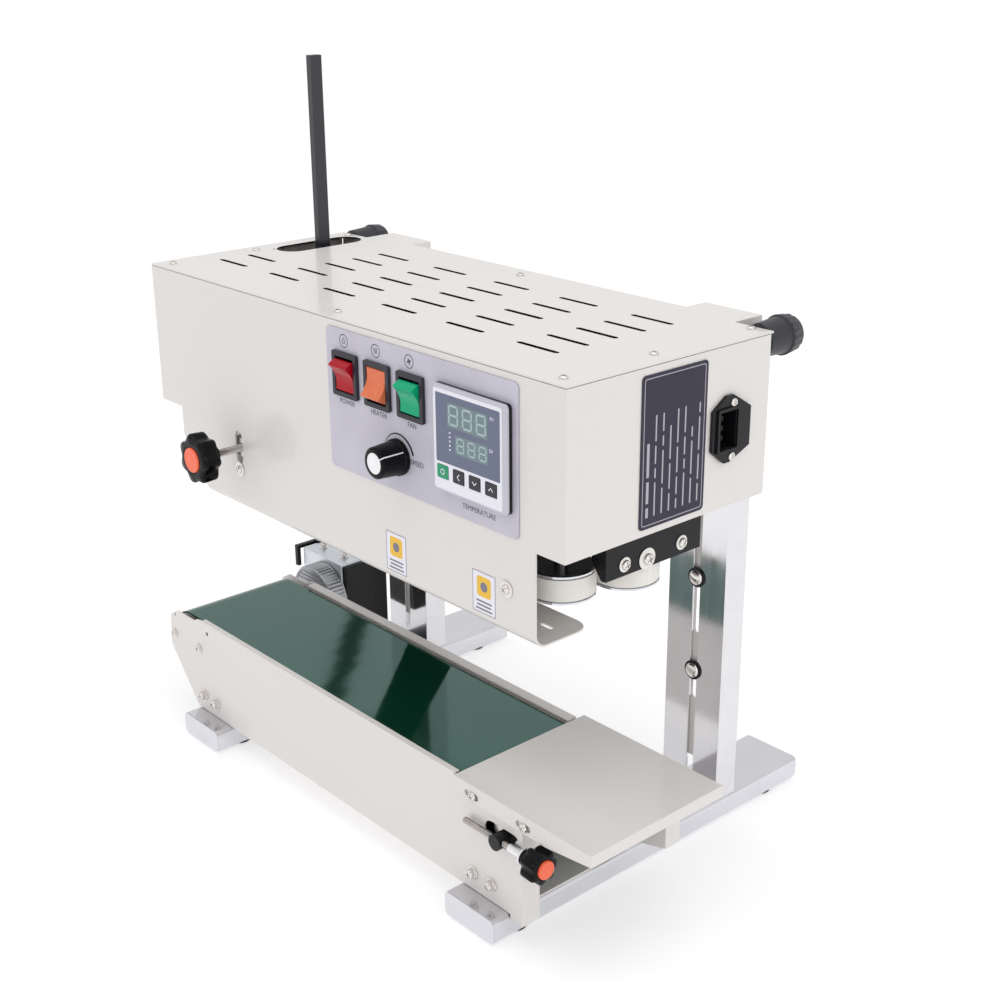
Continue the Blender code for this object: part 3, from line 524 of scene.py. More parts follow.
def arcBand(u, v, inner, outer, start, end, steps=24, taper=1.0):
    # a curved stroke; taper scales its width at the start
    out, back = [], []
    middle = (inner + outer) / 2
    for i in range(steps + 1):
        angle = math.radians(start + (end - start) * i / steps)
        half = (outer - inner) / 2 * (taper + (1 - taper) * i / steps)
        out.append((u + (middle + half) * math.cos(angle), v + (middle + half) * math.sin(angle)))
        back.append((u + (middle - half) * math.cos(angle), v + (middle - half) * math.sin(angle)))
    return out + back[::-1]


def stroke(points, width):
    left, right = [], []
    for i, (u, v) in enumerate(points):
        a = points[max(0, i - 1)]
        b = points[min(len(points) - 1, i + 1)]
        du, dv = b[0] - a[0], b[1] - a[1]
        size = math.hypot(du, dv)
        left.append((u - dv / size * width / 2, v + du / size * width / 2))
        right.append((u + dv / size * width / 2, v - du / size * width / 2))
    return left + right[::-1]


def words(text, size, u, v, level, body, name, skin="ink"):
    # flat lettering on the front panel, centred on u, v
    curve = bpy.data.curves.new(name, "FONT")
    curve.body = text
    curve.size = size
    curve.align_x = "CENTER"
    curve.align_y = "CENTER"
    curve.extrude = 0.02
    curve.resolution_u = 3
    holder = bpy.data.objects.new(name, curve)
    mesh = bpy.data.meshes.new_from_object(holder)
    bpy.data.objects.remove(holder, do_unlink=True)
    bm = bmesh.new()
    bm.from_mesh(mesh)
    bpy.data.meshes.remove(mesh)
    bm.transform(Matrix.Translation((u, level, v)) @ Matrix.Rotation(math.radians(90), 4, "X"))
    return finishPiece(name, bm, body, skin)


facing = {
    "-y": Matrix.Rotation(math.radians(90), 4, "X"),
    "+y": Matrix.Rotation(math.radians(-90), 4, "X"),
    "+x": Matrix.Rotation(math.radians(90), 4, "Y"),
    "-x": Matrix.Rotation(math.radians(-90), 4, "Y"),
    "+z": Matrix.Identity(4),
    "-z": Matrix.Rotation(math.radians(180), 4, "X"),
}


def screwHead(radius, height, washer=0.0, turn=20, shank=0.0):
    # pan head with a cross recess, seat at z 0; a washer lifts the head
    lift = 1.0 if washer else 0.0
    profile = [(lift - 0.02, radius * 0.97)]
    for i in range(7):
        angle = math.radians(90 * i / 6)
        profile.append((lift + height * (0.25 + 0.75 * math.sin(angle)),
                        max(0.02, radius * math.cos(angle) ** 0.55)))
    head = spun("z", (0, 0), profile, 28)
    arm, thick = radius * 0.62, radius * 0.2
    cross = [
        block(-arm, arm, -thick / 2, thick / 2, lift + height * 0.45, lift + height + 1),
        block(-thick / 2, thick / 2, -arm, arm, lift + height * 0.45, lift + height + 1),
    ]
    for bm in cross:
        bm.transform(Matrix.Rotation(math.radians(turn), 4, "Z"))
    head = carved(head, *cross)
    parts = [head]
    if washer:
        ring = [(0, washer * 0.98), (0.1, washer), (0.8, washer), (0.98, washer * 0.94)]
        parts.append(spun("z", (0, 0), ring, 32))
    if shank:
        parts.append(spun("z", (0, 0), [(-shank, radius * 0.5), (lift + 0.1, radius * 0.5)], 16))
    return together(*parts)


def screws(name, body, places, toward, radius=3.4, height=2.2, washer=0.0, skin="screw"):
    heads = []
    for index, place in enumerate(places):
        head = screwHead(radius, height, washer, 20 + 37 * index)
        head.transform(Matrix.Translation(place) @ facing[toward])
        heads.append(head)
    return finishPiece(name, together(*heads), body, skin, smooth=40)


# finishes and edge radii for the sheet metal that stays as it is

# finish, edge radius and the nodes that have them
sheets = (
    ("ivory", 0.6, "head_shell"),
    ("ivory", 0.3, "head_frame"),
    ("ivory", 0.5, "top_cover conveyor_frame exit_table"),
    ("ivory", 0.4, "left_strap right_strap"),
    ("columnChrome", 0.5, "left_column right_column"),
    ("panel", 0.15, "control_plate"),
    ("label", 0.1, "rating_plate"),
    ("blackMetal", 0.3, "exit_bracket"),
    ("brass", 0.4, "front_heater rear_heater"),
    ("aluminium", 0.3, "front_cooler rear_cooler"),
    ("band", 0.0, "front_band rear_band"),
    ("blackMetal", 0.6, "head_motor"),
    ("belt", 0.0, "conveyor_belt"),
    ("steel", 0.4, "drive_roller idler_roller pressure_block"),
    ("black", 0.3, "idler_shaft"),
    ("zinc", 0.4, "motor_plate"),
    ("blackMetal", 0.4, "motor_strap"),
    ("blackMetal", 0.8, "belt_motor"),
    ("aluminium", 0.5, "belt_gearhead"),
    ("steel", 0.2, "front_drive_wheel rear_drive_wheel pressure_rod"),
    ("chrome", 0.3, "front_exit_wheel rear_exit_wheel left_foot right_foot"),
    ("leverBlack", 0.5, "release_lever"),
    ("rubber", 0.4, "left_bumper right_bumper"),
    ("black", 0.4, "power_inlet"),
    ("grey", 0.3, "temperature_controller"),
    ("knob", 0.2, "speed_knob"),
    ("knob", 0.5, "pressure_knob"),
    ("orange", 0.2, "pressure_knob_cap tension_knob_cap"),
    ("knob", 0.4, "tension_knob"),
    ("steel", 0.0, "tension_screw"),
    ("charcoal", 0.3, "rocker_housing_red rocker_housing_orange rocker_housing_green"),
    ("red", 0.5, "rocker_red"),
    ("amber", 0.5, "rocker_orange"),
    ("green", 0.5, "rocker_green"),
    ("green", 0.2, "controller_key_set"),
    ("charcoal", 0.2, "controller_key_left controller_key_down controller_key_up"),
    ("screw", 0.2, "left_bolt_lower left_bolt_upper right_bolt_lower right_bolt_upper"),
)


# painted shade: faces painted black where the inside of the head lies in shade (the floor plate, the
# lid's underside and the walls of its slots); low and high are the distances in metres to the node's two
# corners
paintedShadeFaces = {
    "head_frame": lambda low, high, up: low.z < 0.003,
    "top_cover": lambda low, high, up: (
        up < -0.5 or (up < 0.5 and min(low.x, high.x, low.y, high.y - 0.022) > 0.006)),
}


def dressNodes():
    finishes = {name: (skin, radius) for skin, radius, names in sheets for name in names.split()}
    for name, (skin, radius) in finishes.items():
        node = nodes[name]
        node.data.materials.clear()
        node.data.materials.append(skins[skin])
        if name in paintedShadeFaces:
            # painted shade: black lacquer in a second slot, on the faces listed above, which are ivory on the
            # real machine
            node.data.materials.append(skins["blackMetal"])
            for face in node.data.polygons:
                spot = node.matrix_world @ face.center
                if paintedShadeFaces[name](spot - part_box(name)[0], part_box(name)[1] - spot, face.normal.z):
                    face.material_index = 1
        if radius:
            weld = node.modifiers.new("weld", "WELD")
            weld.merge_threshold = 0.000005
            edge = node.modifiers.new("edge", "BEVEL")
            edge.width = radius / 1000
            edge.segments = 2
            edge.limit_method = "ANGLE"
            edge.angle_limit = math.radians(34)
            edge.harden_normals = True


dressNodes()
print("frame nodes finished")


def span(name):
    # a node's low and high corners in the machine's own axes
    low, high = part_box(name)
    origin = at(0, 0, 0)
    return (low - origin) * 1000, (high - origin) * 1000


def printed(name, body, loops, axis, level, skin="ink", thick=0.06):
    # flat shapes laid on a face, a hair proud of it
    shapes = [slab([loop], axis, level, level + thick) for loop in loops]
    return finishPiece(name, together(*shapes), body, skin)


def threadProfile(start, end, radius, pitch):
    profile = [(start, radius - 0.5)]
    turns = int((end - start) / pitch)
    for i in range(turns):
        profile += [(start + (i + 0.3) * pitch, radius), (start + (i + 0.5) * pitch, radius),
                    (start + (i + 0.9) * pitch, radius - 0.36)]
    return profile


# head box: lid screws, skirt screws, wheels and bands

lid = {"columns": (15, 248, 485), "rows": (12, 94, 192), "radius": 3.3, "hole": (22, 108)}
skirt = {"screws": ((118, 262), (444.4, 261.6)), "washer": 6.2, "radius": 3.6}
wheel = {"disc": 19.5, "hub": 4.6, "screw": 3.0}


def makeHeadHardware():
    top = span("top_cover")[1].z
    places = [(x, y, top) for x in lid["columns"] for y in lid["rows"] if (x, y) != (248, 94)]
    screws("lidScrews", "head", places, "+z", lid["radius"], 1.9)
    x, y = lid["hole"]
    printed("lidPilotHole", "head", [ringLoop(x, y, 1.3, 20)], "z", top + 0.01)
    front = span("head_shell")[0].y
    screws("skirtScrews", "head", [(x, front, z) for x, z in skirt["screws"]], "-y",
           skirt["radius"], 2.2, skirt["washer"])


def stadiumLoop(a, b, y, radius, steps=40):
    points = []
    for x, turn in ((b, -90), (a, 90)):
        for i in range(steps + 1):
            angle = math.radians(turn + 180 * i / steps)
            points.append((x + radius * math.cos(angle), y + radius * math.sin(angle)))
    return points


def makeWheels():
    for end in ("drive", "exit"):
        for row in ("front", "rear"):
            node = f"{row}_{end}_wheel"
            low, high = span(node)
            radius = (high.y - low.y) / 2
            x, y, z = (low.x + high.x) / 2, (low.y + high.y) / 2, low.z
            disc = spun("z", (x, y), [(z - 0.7, 4), (z - 0.7, wheel["disc"]), (z - 0.2, wheel["disc"] + 0.5),
                                      (z + 0.3, wheel["disc"] + 0.5)], 64)
            finishPiece(f"{row}{end.title()}Disc", disc, node, "cream", smooth=40)
            screws(f"{row}{end.title()}Screw", node, [(x, y, z - 0.7)], "-z", wheel["screw"], 2.0,
                   wheel["hub"])
            if end == "exit":
                top, rim = z + 21, radius
                body = spun("z", (x, y), [
                    (z, rim - 0.5), (z + 0.3, rim), (z + 1.7, rim), (z + 2.0, rim - 0.4), (z + 2.1, rim - 1),
                    (top - 2.1, rim - 1), (top - 2.0, rim - 0.4), (top - 1.7, rim), (top - 0.3, rim),
                    (top, rim - 0.5), (top, 5), (high.z, 5)], 96)
                finishPiece(f"{row}ExitWheel", body, node, "chrome", stands=(node,),
                            smooth=40)
                shade = spun("z", (x, y), [(top - 0.1, 5.2), (top - 0.1, rim - 1.2), (top + 0.3, rim - 1.4),
                                           (top + 0.3, 5.2)], 64)
                finishPiece(f"{row}WheelShade", shade, node, "black", smooth=40)


def makeBands():
    for row in ("front", "rear"):
        low, high = span(f"{row}_band")
        half = (high.y - low.y) / 2
        middle = (low.y + high.y) / 2
        a, b = low.x + half, high.x - half
        loops = [stadiumLoop(a, b, middle, half), stadiumLoop(a, b, middle, half - 0.7)]
        finishPiece(f"{row}SealingBand", slab(loops, "z", low.z, high.z), "head", "band",
                    stands=(f"{row}_band",), smooth=30)


# control panel: print, rockers, speed dial

panel = {"icons": 399.3, "words": 353.6, "wordSize": 5.2, "ring": 5.0, "line": 0.6}
rockers = {"red": "red", "orange": "amber", "green": "green"}
rocker = {"tilt": {"red": 18, "orange": -18, "green": 18}, "half": 10.4, "pivot": 0.5, "mark": 2.3}
dial = {"cap": 7.7, "pointer": 32, "flutes": 36}


def iconLoops(kind, x, z):
    line = panel["line"]
    if kind == "power":
        return [arcBand(x, z, 1.5, 1.5 + line, 130, 410), stroke([(x, z + 0.4), (x, z + 2.6)], line)]
    if kind == "heat":
        waves = []
        for offset in (-1.5, 0, 1.5):
            points = [(x + offset + 0.35 * math.sin(tau * i / 12), z - 2 + 4 * i / 12) for i in range(13)]
            waves.append(stroke(points, line))
        return waves
    blades = []
    for turn in range(4):
        start = 90 * turn
        middle = math.radians(start + 25)
        u, v = x + 1.25 * math.cos(middle), z + 1.25 * math.sin(middle)
        wide, tall = ((1.15, 0.62), (0.62, 1.15))[turn % 2]
        angles = [tau * i / 20 for i in range(20)]
        blades.append([(u + wide * math.cos(angle), v + tall * math.sin(angle)) for angle in angles])
    return blades


def makePanelPrint():
    level = span("control_plate")[0].y - 0.05
    labels = (("red", "power", "POWER"), ("orange", "heat", "HEATER"), ("green", "fan", "FAN"))
    for colour, kind, word in labels:
        low, high = span(f"rocker_housing_{colour}")
        x = (low.x + high.x) / 2 - 2.5
        rim = [arcBand(x, panel["icons"], panel["ring"] - panel["line"], panel["ring"], 0, 180),
               arcBand(x, panel["icons"], panel["ring"] - panel["line"], panel["ring"], 180, 360)]
        printed(f"{kind}Icon", "head", rim + iconLoops(kind, x, panel["icons"]), "y", level)
        words(word, panel["wordSize"], x + 1.5, panel["words"], level, "head", f"{kind}Word")
    low, high = span("speed_knob")
    x, z = (low.x + high.x) / 2, (low.z + high.z) / 2
    printed("speedSweep", "head", [arcBand(x, z, 15.6, 17.9, 172, 16, 40, 0.12)], "y", level)
    words("SPEED", 5.4, x + 20.5, z - 0.5, level, "head", "speedWord")
    low, high = span("temperature_controller")
    words("TEMPERATURE", 5.2, (low.x + high.x) / 2 + 3.5, low.z - 7.4, level, "head", "temperatureWord")


def rockerFace(tilt):
    # closed outline in y and z of a paddle with a hollowed face, turned about its pivot
    face = []
    for i in range(17):
        share = i / 8 - 1
        face.append((-5.0 - 2.7 * abs(share) ** 1.8, 9.7 * share))
    tip = [(-7.5, 10.4), (-6.6, 11.0), (-4.6, 11.5), (-0.98, 12.0), (4.4, 8.4), (5.8, 0)]
    outline = face + tip + [(y, -z) for y, z in tip[-2::-1]]
    turn = math.radians(tilt)
    across, along = math.cos(turn), math.sin(turn)
    return [(y * across - z * along, y * along + z * across) for y, z in outline]


def makeRockers():
    for colour, skin in rockers.items():
        node = f"rocker_{colour}"
        low, high = span(f"rocker_housing_{colour}")
        x, z = (low.x + high.x) / 2, (low.z + high.z) / 2
        tilt = rocker["tilt"][colour]
        outline = [(rocker["pivot"] + u, z + v) for u, v in rockerFace(tilt)]
        paddle = slab([outline], "x", x - rocker["half"], x + rocker["half"])
        finishPiece(f"{colour}Paddle", paddle, node, skin, 0.6, 3, 40, stands=(node,))
        turn = math.radians(tilt)
        bar = block(-0.4, 0.4, -0.06, 0.06, -1.9, 1.9)
        bar.transform(Matrix.Translation((0, -5.75, 5.6)) @ Matrix.Rotation(math.radians(20), 4, "X"))
        ring = slab([ringLoop(0, 0, rocker["mark"]), ringLoop(0, 0, rocker["mark"] - 0.6)], "y", -0.06, 0.06)
        ring.transform(Matrix.Translation((0, -5.75, -5.6)) @ Matrix.Rotation(math.radians(-20), 4, "X"))
        marks = together(bar, ring)
        marks.transform(Matrix.Translation((x, rocker["pivot"], z)) @ Matrix.Rotation(turn, 4, "X"))
        finishPiece(f"{colour}RockerMarks", marks, node, "white")


def makeSpeedDial():
    low, high = span("speed_knob")
    x, z = (low.x + high.x) / 2, (low.z + high.z) / 2
    wave = 0.16
    body = rings("y", (x, z), [
        (low.y + 0.5, 7.9, 0), (low.y, 8.0, 0), (low.y, 10.2, 0), (low.y + 0.25, 10.6, 0),
        (low.y + 1.1, 11.5, 0), (low.y + 1.5, 11.4, wave),
        (-6.4, 12.4, wave), (-5.6, 12.4, 0), (-5.2, 13.2, 0), (-4.6, 13.5, 0),
        (-1.9, 13.5, 0), (-1.4, 13.0, 0), (-1.4, 3.1, 0), (high.y, 3.1, 0)], dial["flutes"], 144)
    finishPiece("speedDial", body, "speed_knob", "knob", stands=("speed_knob",), smooth=38)
    cap = spun("y", (x, z), [(low.y + 0.6, dial["cap"]), (low.y + 0.12, dial["cap"]),
                             (low.y + 0.02, dial["cap"] - 0.3), (low.y + 0.08, 2.0)], 64)
    finishPiece("speedDialCap", cap, "speed_knob", "satin", smooth=40)
    pointer = together(
        block(11.2, 12.75, low.y + 1.2, -5.4, -0.42, 0.42),
        block(8.0, 10.6, low.y - 0.04, low.y + 0.3, -0.42, 0.42),
        block(10.5, 11.65, low.y + 0.25, low.y + 1.3, -0.42, 0.42),
    )
    pointer.transform(Matrix.Translation((x, 0, z)) @ Matrix.Rotation(math.radians(-dial["pointer"]), 4, "Y"))
    finishPiece("speedPointer", pointer, "speed_knob", "white")


# temperature controller

# left bar, lowest bar, width, height, bar thickness and pitch of the digits, measured from the face's
# upper left corner
readout = {
    "upper": {"left": 17.0, "down": 25.8, "wide": 8.6, "tall": 13.0, "bar": 1.5, "pitch": 14.0},
    "lower": {"left": 25.0, "down": 43.4, "wide": 6.6, "tall": 9.2, "bar": 1.2, "pitch": 11.2},
    "fascia": (0.6, 5.6, 1.2, 3.0), "window": (2.9, 7.6, 20.9, 5.9),
    "lamps": (16.6, (32.6, 35.6, 38.6, 41.6, 44.6)),
    "marks": (("PV", 60.0, 12.9), ("SV", 59.0, 34.8)),
}


def digitLoops(left, bottom, row):
    # three digits of seven bars, each bar a slim hexagon
    loops = []
    wide, tall, h = row["wide"], row["tall"], row["bar"] / 2
    for index in range(3):
        x = left + index * row["pitch"]
        for z in (bottom, bottom + tall / 2, bottom + tall):
            a, b = x + 0.2, x + wide - 0.2
            loops.append([(a, z), (a + h, z + h), (b - h, z + h), (b, z), (b - h, z - h), (a + h, z - h)])
        for u in (x, x + wide):
            for low in (bottom, bottom + tall / 2):
                a, b = low + 0.2, low + tall / 2 - 0.2
                loops.append([(u, a), (u + h, a + h), (u + h, b - h), (u, b), (u - h, b - h), (u - h, a + h)])
    return loops


def makeController():
    low, high = span("temperature_controller")
    face = low.y
    x0, x1, z0, z1 = low.x, high.x, low.z, high.z
    left, right, low, high = readout["fascia"]
    inner = roundBox(x0 + left, x1 - right, z0 + low, z1 - high, 1.6)
    rim = slab([roundBox(x0, x1, z0, z1, 3), inner], "y", face - 0.3, face + 0.2)
    finishPiece("controllerRim", rim, "head", "grey", 0.25, 2)
    side = slab([roundBox(x0 - 0.05, x1 + 0.05, z0 - 0.05, z1 + 0.05, 3),
                 roundBox(x0 + 1, x1 - 1, z0 + 1, z1 - 1, 2.4)], "y", face + 1.0, face + 3.6)
    finishPiece("controllerSide", side, "head", "black")
    left, right, low, high = readout["window"]
    pane = (x0 + left, x1 - right, z0 + low, z1 - high)
    border = [inner, roundBox(*pane, 1)]
    for key in ("set", "left", "down", "up"):
        keyMin, keyMax = span(f"controller_key_{key}")
        border.append(roundBox(keyMin.x - 0.3, keyMax.x + 0.3, keyMin.z - 0.3, keyMax.z + 0.3, 0.8))
    cover = slab(border, "y", face - 0.12, face + 0.1)
    glass = slab([roundBox(*pane, 1)], "y", face - 0.08, face + 0.1)
    finishPiece("controllerFascia", cover, "head", "white")
    finishPiece("controllerWindow", glass, "head", "glassBlue")
    for name in ("upper", "lower"):
        row = readout[name]
        u, v = x0 + row["left"], z1 - row["down"]
        right = u + 2 * row["pitch"] + row["wide"]
        shade = roundBox(u - 2.1, right + 2.1, v - 2.2, v + row["tall"] + 2.0, 0.5)
        printed(f"{name}Display", "head", [shade], "y", face - 0.14, "displayGlow")
        # digit bars drawn with painted glow, though the display is unlit
        printed(f"{name}Digits", "head", digitLoops(u, v, row), "y", face - 0.2, "lit")
    across, downs = readout["lamps"]
    lamps = [roundBox(x0 + across, x0 + across + 1.5, z1 - down, z1 - down + 1.1, 0.3) for down in downs]
    printed("controllerLamps", "head", lamps, "y", face - 0.14, "white")
    for text, across, down in readout["marks"]:
        words(text, 3.6, x0 + across, z1 - down, face - 0.12, "head", f"mark{text}", "white")
    for key in ("set", "left", "down", "up"):
        makeKey(key)


def makeKey(key):
    node = f"controller_key_{key}"
    low, high = span(node)
    x, z = (low.x + high.x) / 2, (low.z + high.z) / 2
    half, tall = (high.x - low.x) / 2, (high.z - low.z) / 2
    shape = slab([roundBox(x - half, x + half, z - tall, z + tall, 1.1)], "y", low.y, high.y)
    skin = "keyGreen" if key == "set" else "charcoal"
    finishPiece(f"{key}Key", shape, f"key_{key}", skin, 0.45, 3, 40, stands=(node,))
    turn = {"left": 90, "down": 180, "up": 0}.get(key)
    if turn is None:
        glyph = [arcBand(x, z, 1.5, 2.1, 0, 180), arcBand(x, z, 1.5, 2.1, 180, 360)]
    else:
        angle = math.radians(turn)
        points = [(-2.1, -1.0), (0, 1.2), (2.1, -1.0)]
        glyph = [stroke([(x + u * math.cos(angle) - v * math.sin(angle),
                          z + u * math.sin(angle) + v * math.cos(angle)) for u, v in points], 0.75)]
    printed(f"{key}KeyGlyph", f"key_{key}", glyph, "y", low.y - 0.04, "white")


# right end: inlet, rating film, exit bracket screws, bumpers

inlet = {"opening": (141.0, 159.2, 340.2, 367.8), "rim": 1.7, "screws": ((155.8, 372.3), (155.6, 333.8))}
film = {"margin": 7.0, "rows": 8, "line": 1.3}
bracket = {"screws": ((62.7, 276.5), (118.8, 277.0)), "big": (84.3, 274.7), "washer": 7.8}
bumper = {"grip": 0.35, "lobes": 16}


def makeRightEnd():
    low, high = span("power_inlet")
    face = high.x
    y0, y1, z0, z1 = inlet["opening"]
    loops = [roundBox(y0 - 2.2, y1 + 2.2, z0 - 2.2, z1 + 2.2, 2.2), roundBox(y0, y1, z0, z1, 1.0)]
    rim = slab(loops, "x", face - 0.2, face + inlet["rim"])
    finishPiece("inletRim", rim, "head", "black", 0.5, 3)
    screws("inletScrews", "head", [(face, y, z) for y, z in inlet["screws"]], "+x", 3.2, 1.4)
    low, high = span("rating_plate")
    bars = []
    pitch = (high.y - low.y - 2 * film["margin"]) / (film["rows"] - 1)
    for row in range(film["rows"]):
        y = low.y + film["margin"] + pitch * row
        thick = film["line"] * (1.9 if row == 0 else 1.0)
        z = low.z + 8.0
        for word in range(3 + row % 3):
            size = 7.0 + 5.5 * ((row * 3 + word * 5) % 4) * (1.5 if row == 0 else 1)
            if z + size > high.z - 8.0:
                break
            bars.append(roundBox(y - thick / 2, y + thick / 2, z, z + size, 0.3, 2))
            z += size + 3.0
    printed("ratingRows", "head", bars, "x", high.x - 0.01, "paleInk")
    frameLoop = [roundBox(low.y + 2.2, high.y - 2.2, low.z + 2.2, high.z - 2.2, 2),
                 roundBox(low.y + 2.8, high.y - 2.8, low.z + 2.8, high.z - 2.8, 1.6)]
    finishPiece("ratingBorder", slab(frameLoop, "x", high.x - 0.01, high.x + 0.05), "head", "paleInk")
    low, high = span("exit_bracket")
    screws("bracketScrews", "head", [(high.x, y, z) for y, z in bracket["screws"]], "+x", 3.6, 2.6, 5.4)
    y, z = bracket["big"]
    screws("bracketClamp", "head", [(high.x, y, z)], "+x", 4.2, 3.0, bracket["washer"])


def makeBumpers():
    for side in ("left", "right"):
        node = f"{side}_bumper"
        low, high = span(node)
        x, z = (low.x + high.x) / 2, (low.z + high.z) / 2
        radius, start, end = (high.z - low.z) / 2, low.y, high.y
        body = rings("y", (x, z), [
            (start, 11.6, 0), (start + 0.6, 12.2, 0), (start + 19, 13.3, 0), (start + 20.6, 13.5, 0),
            (start + 21, radius - 0.5, 0), (start + 21.6, radius - 0.1, 0),
            (start + 23, radius - 0.4, bumper["grip"]), (end - 3, radius - 1.4, bumper["grip"]),
            (end - 1, radius - 2.4, 0), (end, radius - 4, 0),
            (end, 4.5, 0), (end - 2.0, 4.0, 0)], bumper["lobes"], 96)
        finishPiece(f"{side}Bumper", body, "head", "rubber", stands=(node,), smooth=40)


# labels on the skirt, plain shapes in place of pictures

label = {"spots": ((313, 336), (409.5, 433)), "low": 235.5, "high": 266.0}


def makeSkirtLabels():
    front = span("head_shell")[0].y
    low, high = label["low"], label["high"]
    papers, edges, signs, rims, lines = [], [], [], [], []
    for x0, x1 in label["spots"]:
        middle = (x0 + x1) / 2
        papers.append(roundBox(x0, x1, low, high, 0.5))
        for part in ((x0, x1, high - 0.5, high), (x0, x1, low, low + 0.5),
                     (x0, x0 + 0.5, low + 0.55, high - 0.55), (x1 - 0.5, x1, low + 0.55, high - 0.55)):
            edges.append(roundBox(*part, 0.1, 1))
        signs.append(roundBox(middle - 7.2, middle + 7.2, low + 12.2, high - 3.2, 2.4))
        rims.append(ringLoop(middle, (low + high + 9) / 2, 3.6))
        for row in range(3):
            wide = (8.6, 7.2, 8.0)[row]
            level = low + 2.2 + 2.9 * row
            lines.append(roundBox(middle - wide, middle + wide, level, level + 1.3, 0.3, 2))
    printed("labelPaper", "head", papers, "y", front - 0.16, "white", 0.14)
    printed("labelEdge", "head", edges, "y", front - 0.2, "greyInk", 0.05)
    printed("labelSign", "head", signs, "y", front - 0.2, "yellow", 0.05)
    printed("labelSpot", "head", rims, "y", front - 0.24, "greyInk", 0.05)
    printed("labelLines", "head", lines, "y", front - 0.2, "greyInk", 0.05)


# hand knobs

pressure = {"neck": 4.6, "radius": 19.1, "lobe": 1.9, "cap": 10.2, "pitch": 1.0}
tension = {
    "neck": 3.4, "threadEnd": 466.2,
    "sleeve": [(465.8, 2.9), (466.0, 3.2), (480.0, 3.2), (480.2, 2.9)],
    "tail": [(480.0, 2.4), (489.0, 2.4)],
    "washer": [(480.4, 6.3), (480.6, 6.6), (481.8, 6.6), (482.0, 6.3), (482.1, 4.0), (483.0, 4.0)],
    "radius": 11.5, "lobe": 1.35, "cap": 6.9, "pitch": 0.8}


def starKnob(name, axis, centre, front, back, hub, sizes, node, body, toward):
    # seven-lobed grip with a seat for its cap; toward is the sign of the way the cap faces
    radius, lobe, cap = sizes["radius"], sizes["lobe"], sizes["cap"]
    f, b = front, back
    stations = [
        (f - toward * 1.6, cap + 0.3, 0), (f - toward * 0.2, cap + 0.45, 0), (f, cap + 0.9, 0),
        (f - toward * 0.1, cap + (radius - cap) * 0.45, lobe * 0.3),
        (f - toward * 0.7, radius * 0.93, lobe * 0.8),
        (f - toward * 2.0, radius * 0.985, lobe), (f - toward * 3.2, radius, lobe),
        (b + toward * 2.4, radius * 0.97, lobe), (b + toward * 1.0, radius * 0.93, lobe * 0.9),
        (b + toward * 0.1, radius * 0.82, lobe * 0.5), (b, radius * 0.62, 0.0), (b - toward * 0.6, hub, 0),
        (b - toward * sizes["neck"], hub * 0.97, 0)]
    grip = rings(axis, centre, stations, 7, 140)
    finishPiece(name, grip, body, "knob", stands=(node,), smooth=42)


def capButton(name, axis, centre, front, toward, radius, node, body):
    f = front
    profile = [(f - toward * 3.6, radius), (f - toward * 1.0, radius), (f - toward * 0.4, radius - 0.25),
               (f - toward * 0.05, radius - 0.9), (f, radius - 1.6), (f - toward * 0.3, radius * 0.62),
               (f - toward * 0.34, radius * 0.5), (f - toward * 0.2, radius * 0.42)]
    cap = spun(axis, centre, profile, 72)
    finishPiece(name, cap, body, "orange", stands=(node,), smooth=42)


def makeHandKnobs():
    gripEnd = span("pressure_knob")[0].y - 1.2
    rodLow, rodHigh = span("pressure_rod")
    centre = ((rodLow.x + rodHigh.x) / 2, (rodLow.z + rodHigh.z) / 2)
    capFront = span("pressure_knob_cap")[0].y
    starKnob("pressureGrip", "y", centre, gripEnd, -28.0, 9.4, pressure, "pressure_knob", "pressure_knob",
             -1)
    capButton("pressureCap", "y", centre, capFront, -1, pressure["cap"], "pressure_knob_cap", "pressure_knob")
    rod = threadProfile(rodLow.y + 0.4, rodHigh.y - 0.3, (rodHigh.x - rodLow.x) / 2, pressure["pitch"])
    finishPiece("pressureThread", spun("y", centre, rod, 28), "pressure_knob", "thread",
                stands=("pressure_rod",), smooth=25)
    low, high = span("tension_screw")
    centre = ((low.y + high.y) / 2, (low.z + high.z) / 2)
    knobLow, knobHigh = span("tension_knob")
    starKnob("tensionGrip", "x", centre, knobHigh.x, knobLow.x + 3.9, 6.8, tension, "tension_knob",
             "tension_knob", 1)
    capButton("tensionCap", "x", centre, span("tension_knob_cap")[1].x, 1, tension["cap"], "tension_knob_cap",
              "tension_knob")
    thread = spun("x", centre, threadProfile(low.x + 0.3, tension["threadEnd"], 2.4, tension["pitch"]), 24)
    sleeve = spun("x", centre, tension["sleeve"], 40)
    tail = spun("x", centre, tension["tail"], 24)
    washer = spun("x", centre, tension["washer"], 48)
    finishPiece("tensionThread", together(thread, tail), "tension_knob", "thread",
                stands=("tension_screw",), smooth=25)
    finishPiece("tensionSleeve", together(sleeve, washer), "tension_knob", "satin", smooth=40)


# conveyor hardware, columns and feet

conveyor = {"small": ((8.9, 79.8), (50.4, 78.9)),
            "bolts": ((53.3, 34.0), (73.0, 33.3), (421.5, 33.5), (441.8, 33.7)),
            "table": ((424.0, 98.9), (477.8, 98.4))}
motor = {"ribs": 54, "rib": 0.35, "pegs": ((5.0, 155.0), (38.0, 155.0))}
foot = {"corner": 4.0, "wall": 0.5, "pad": 8.6}


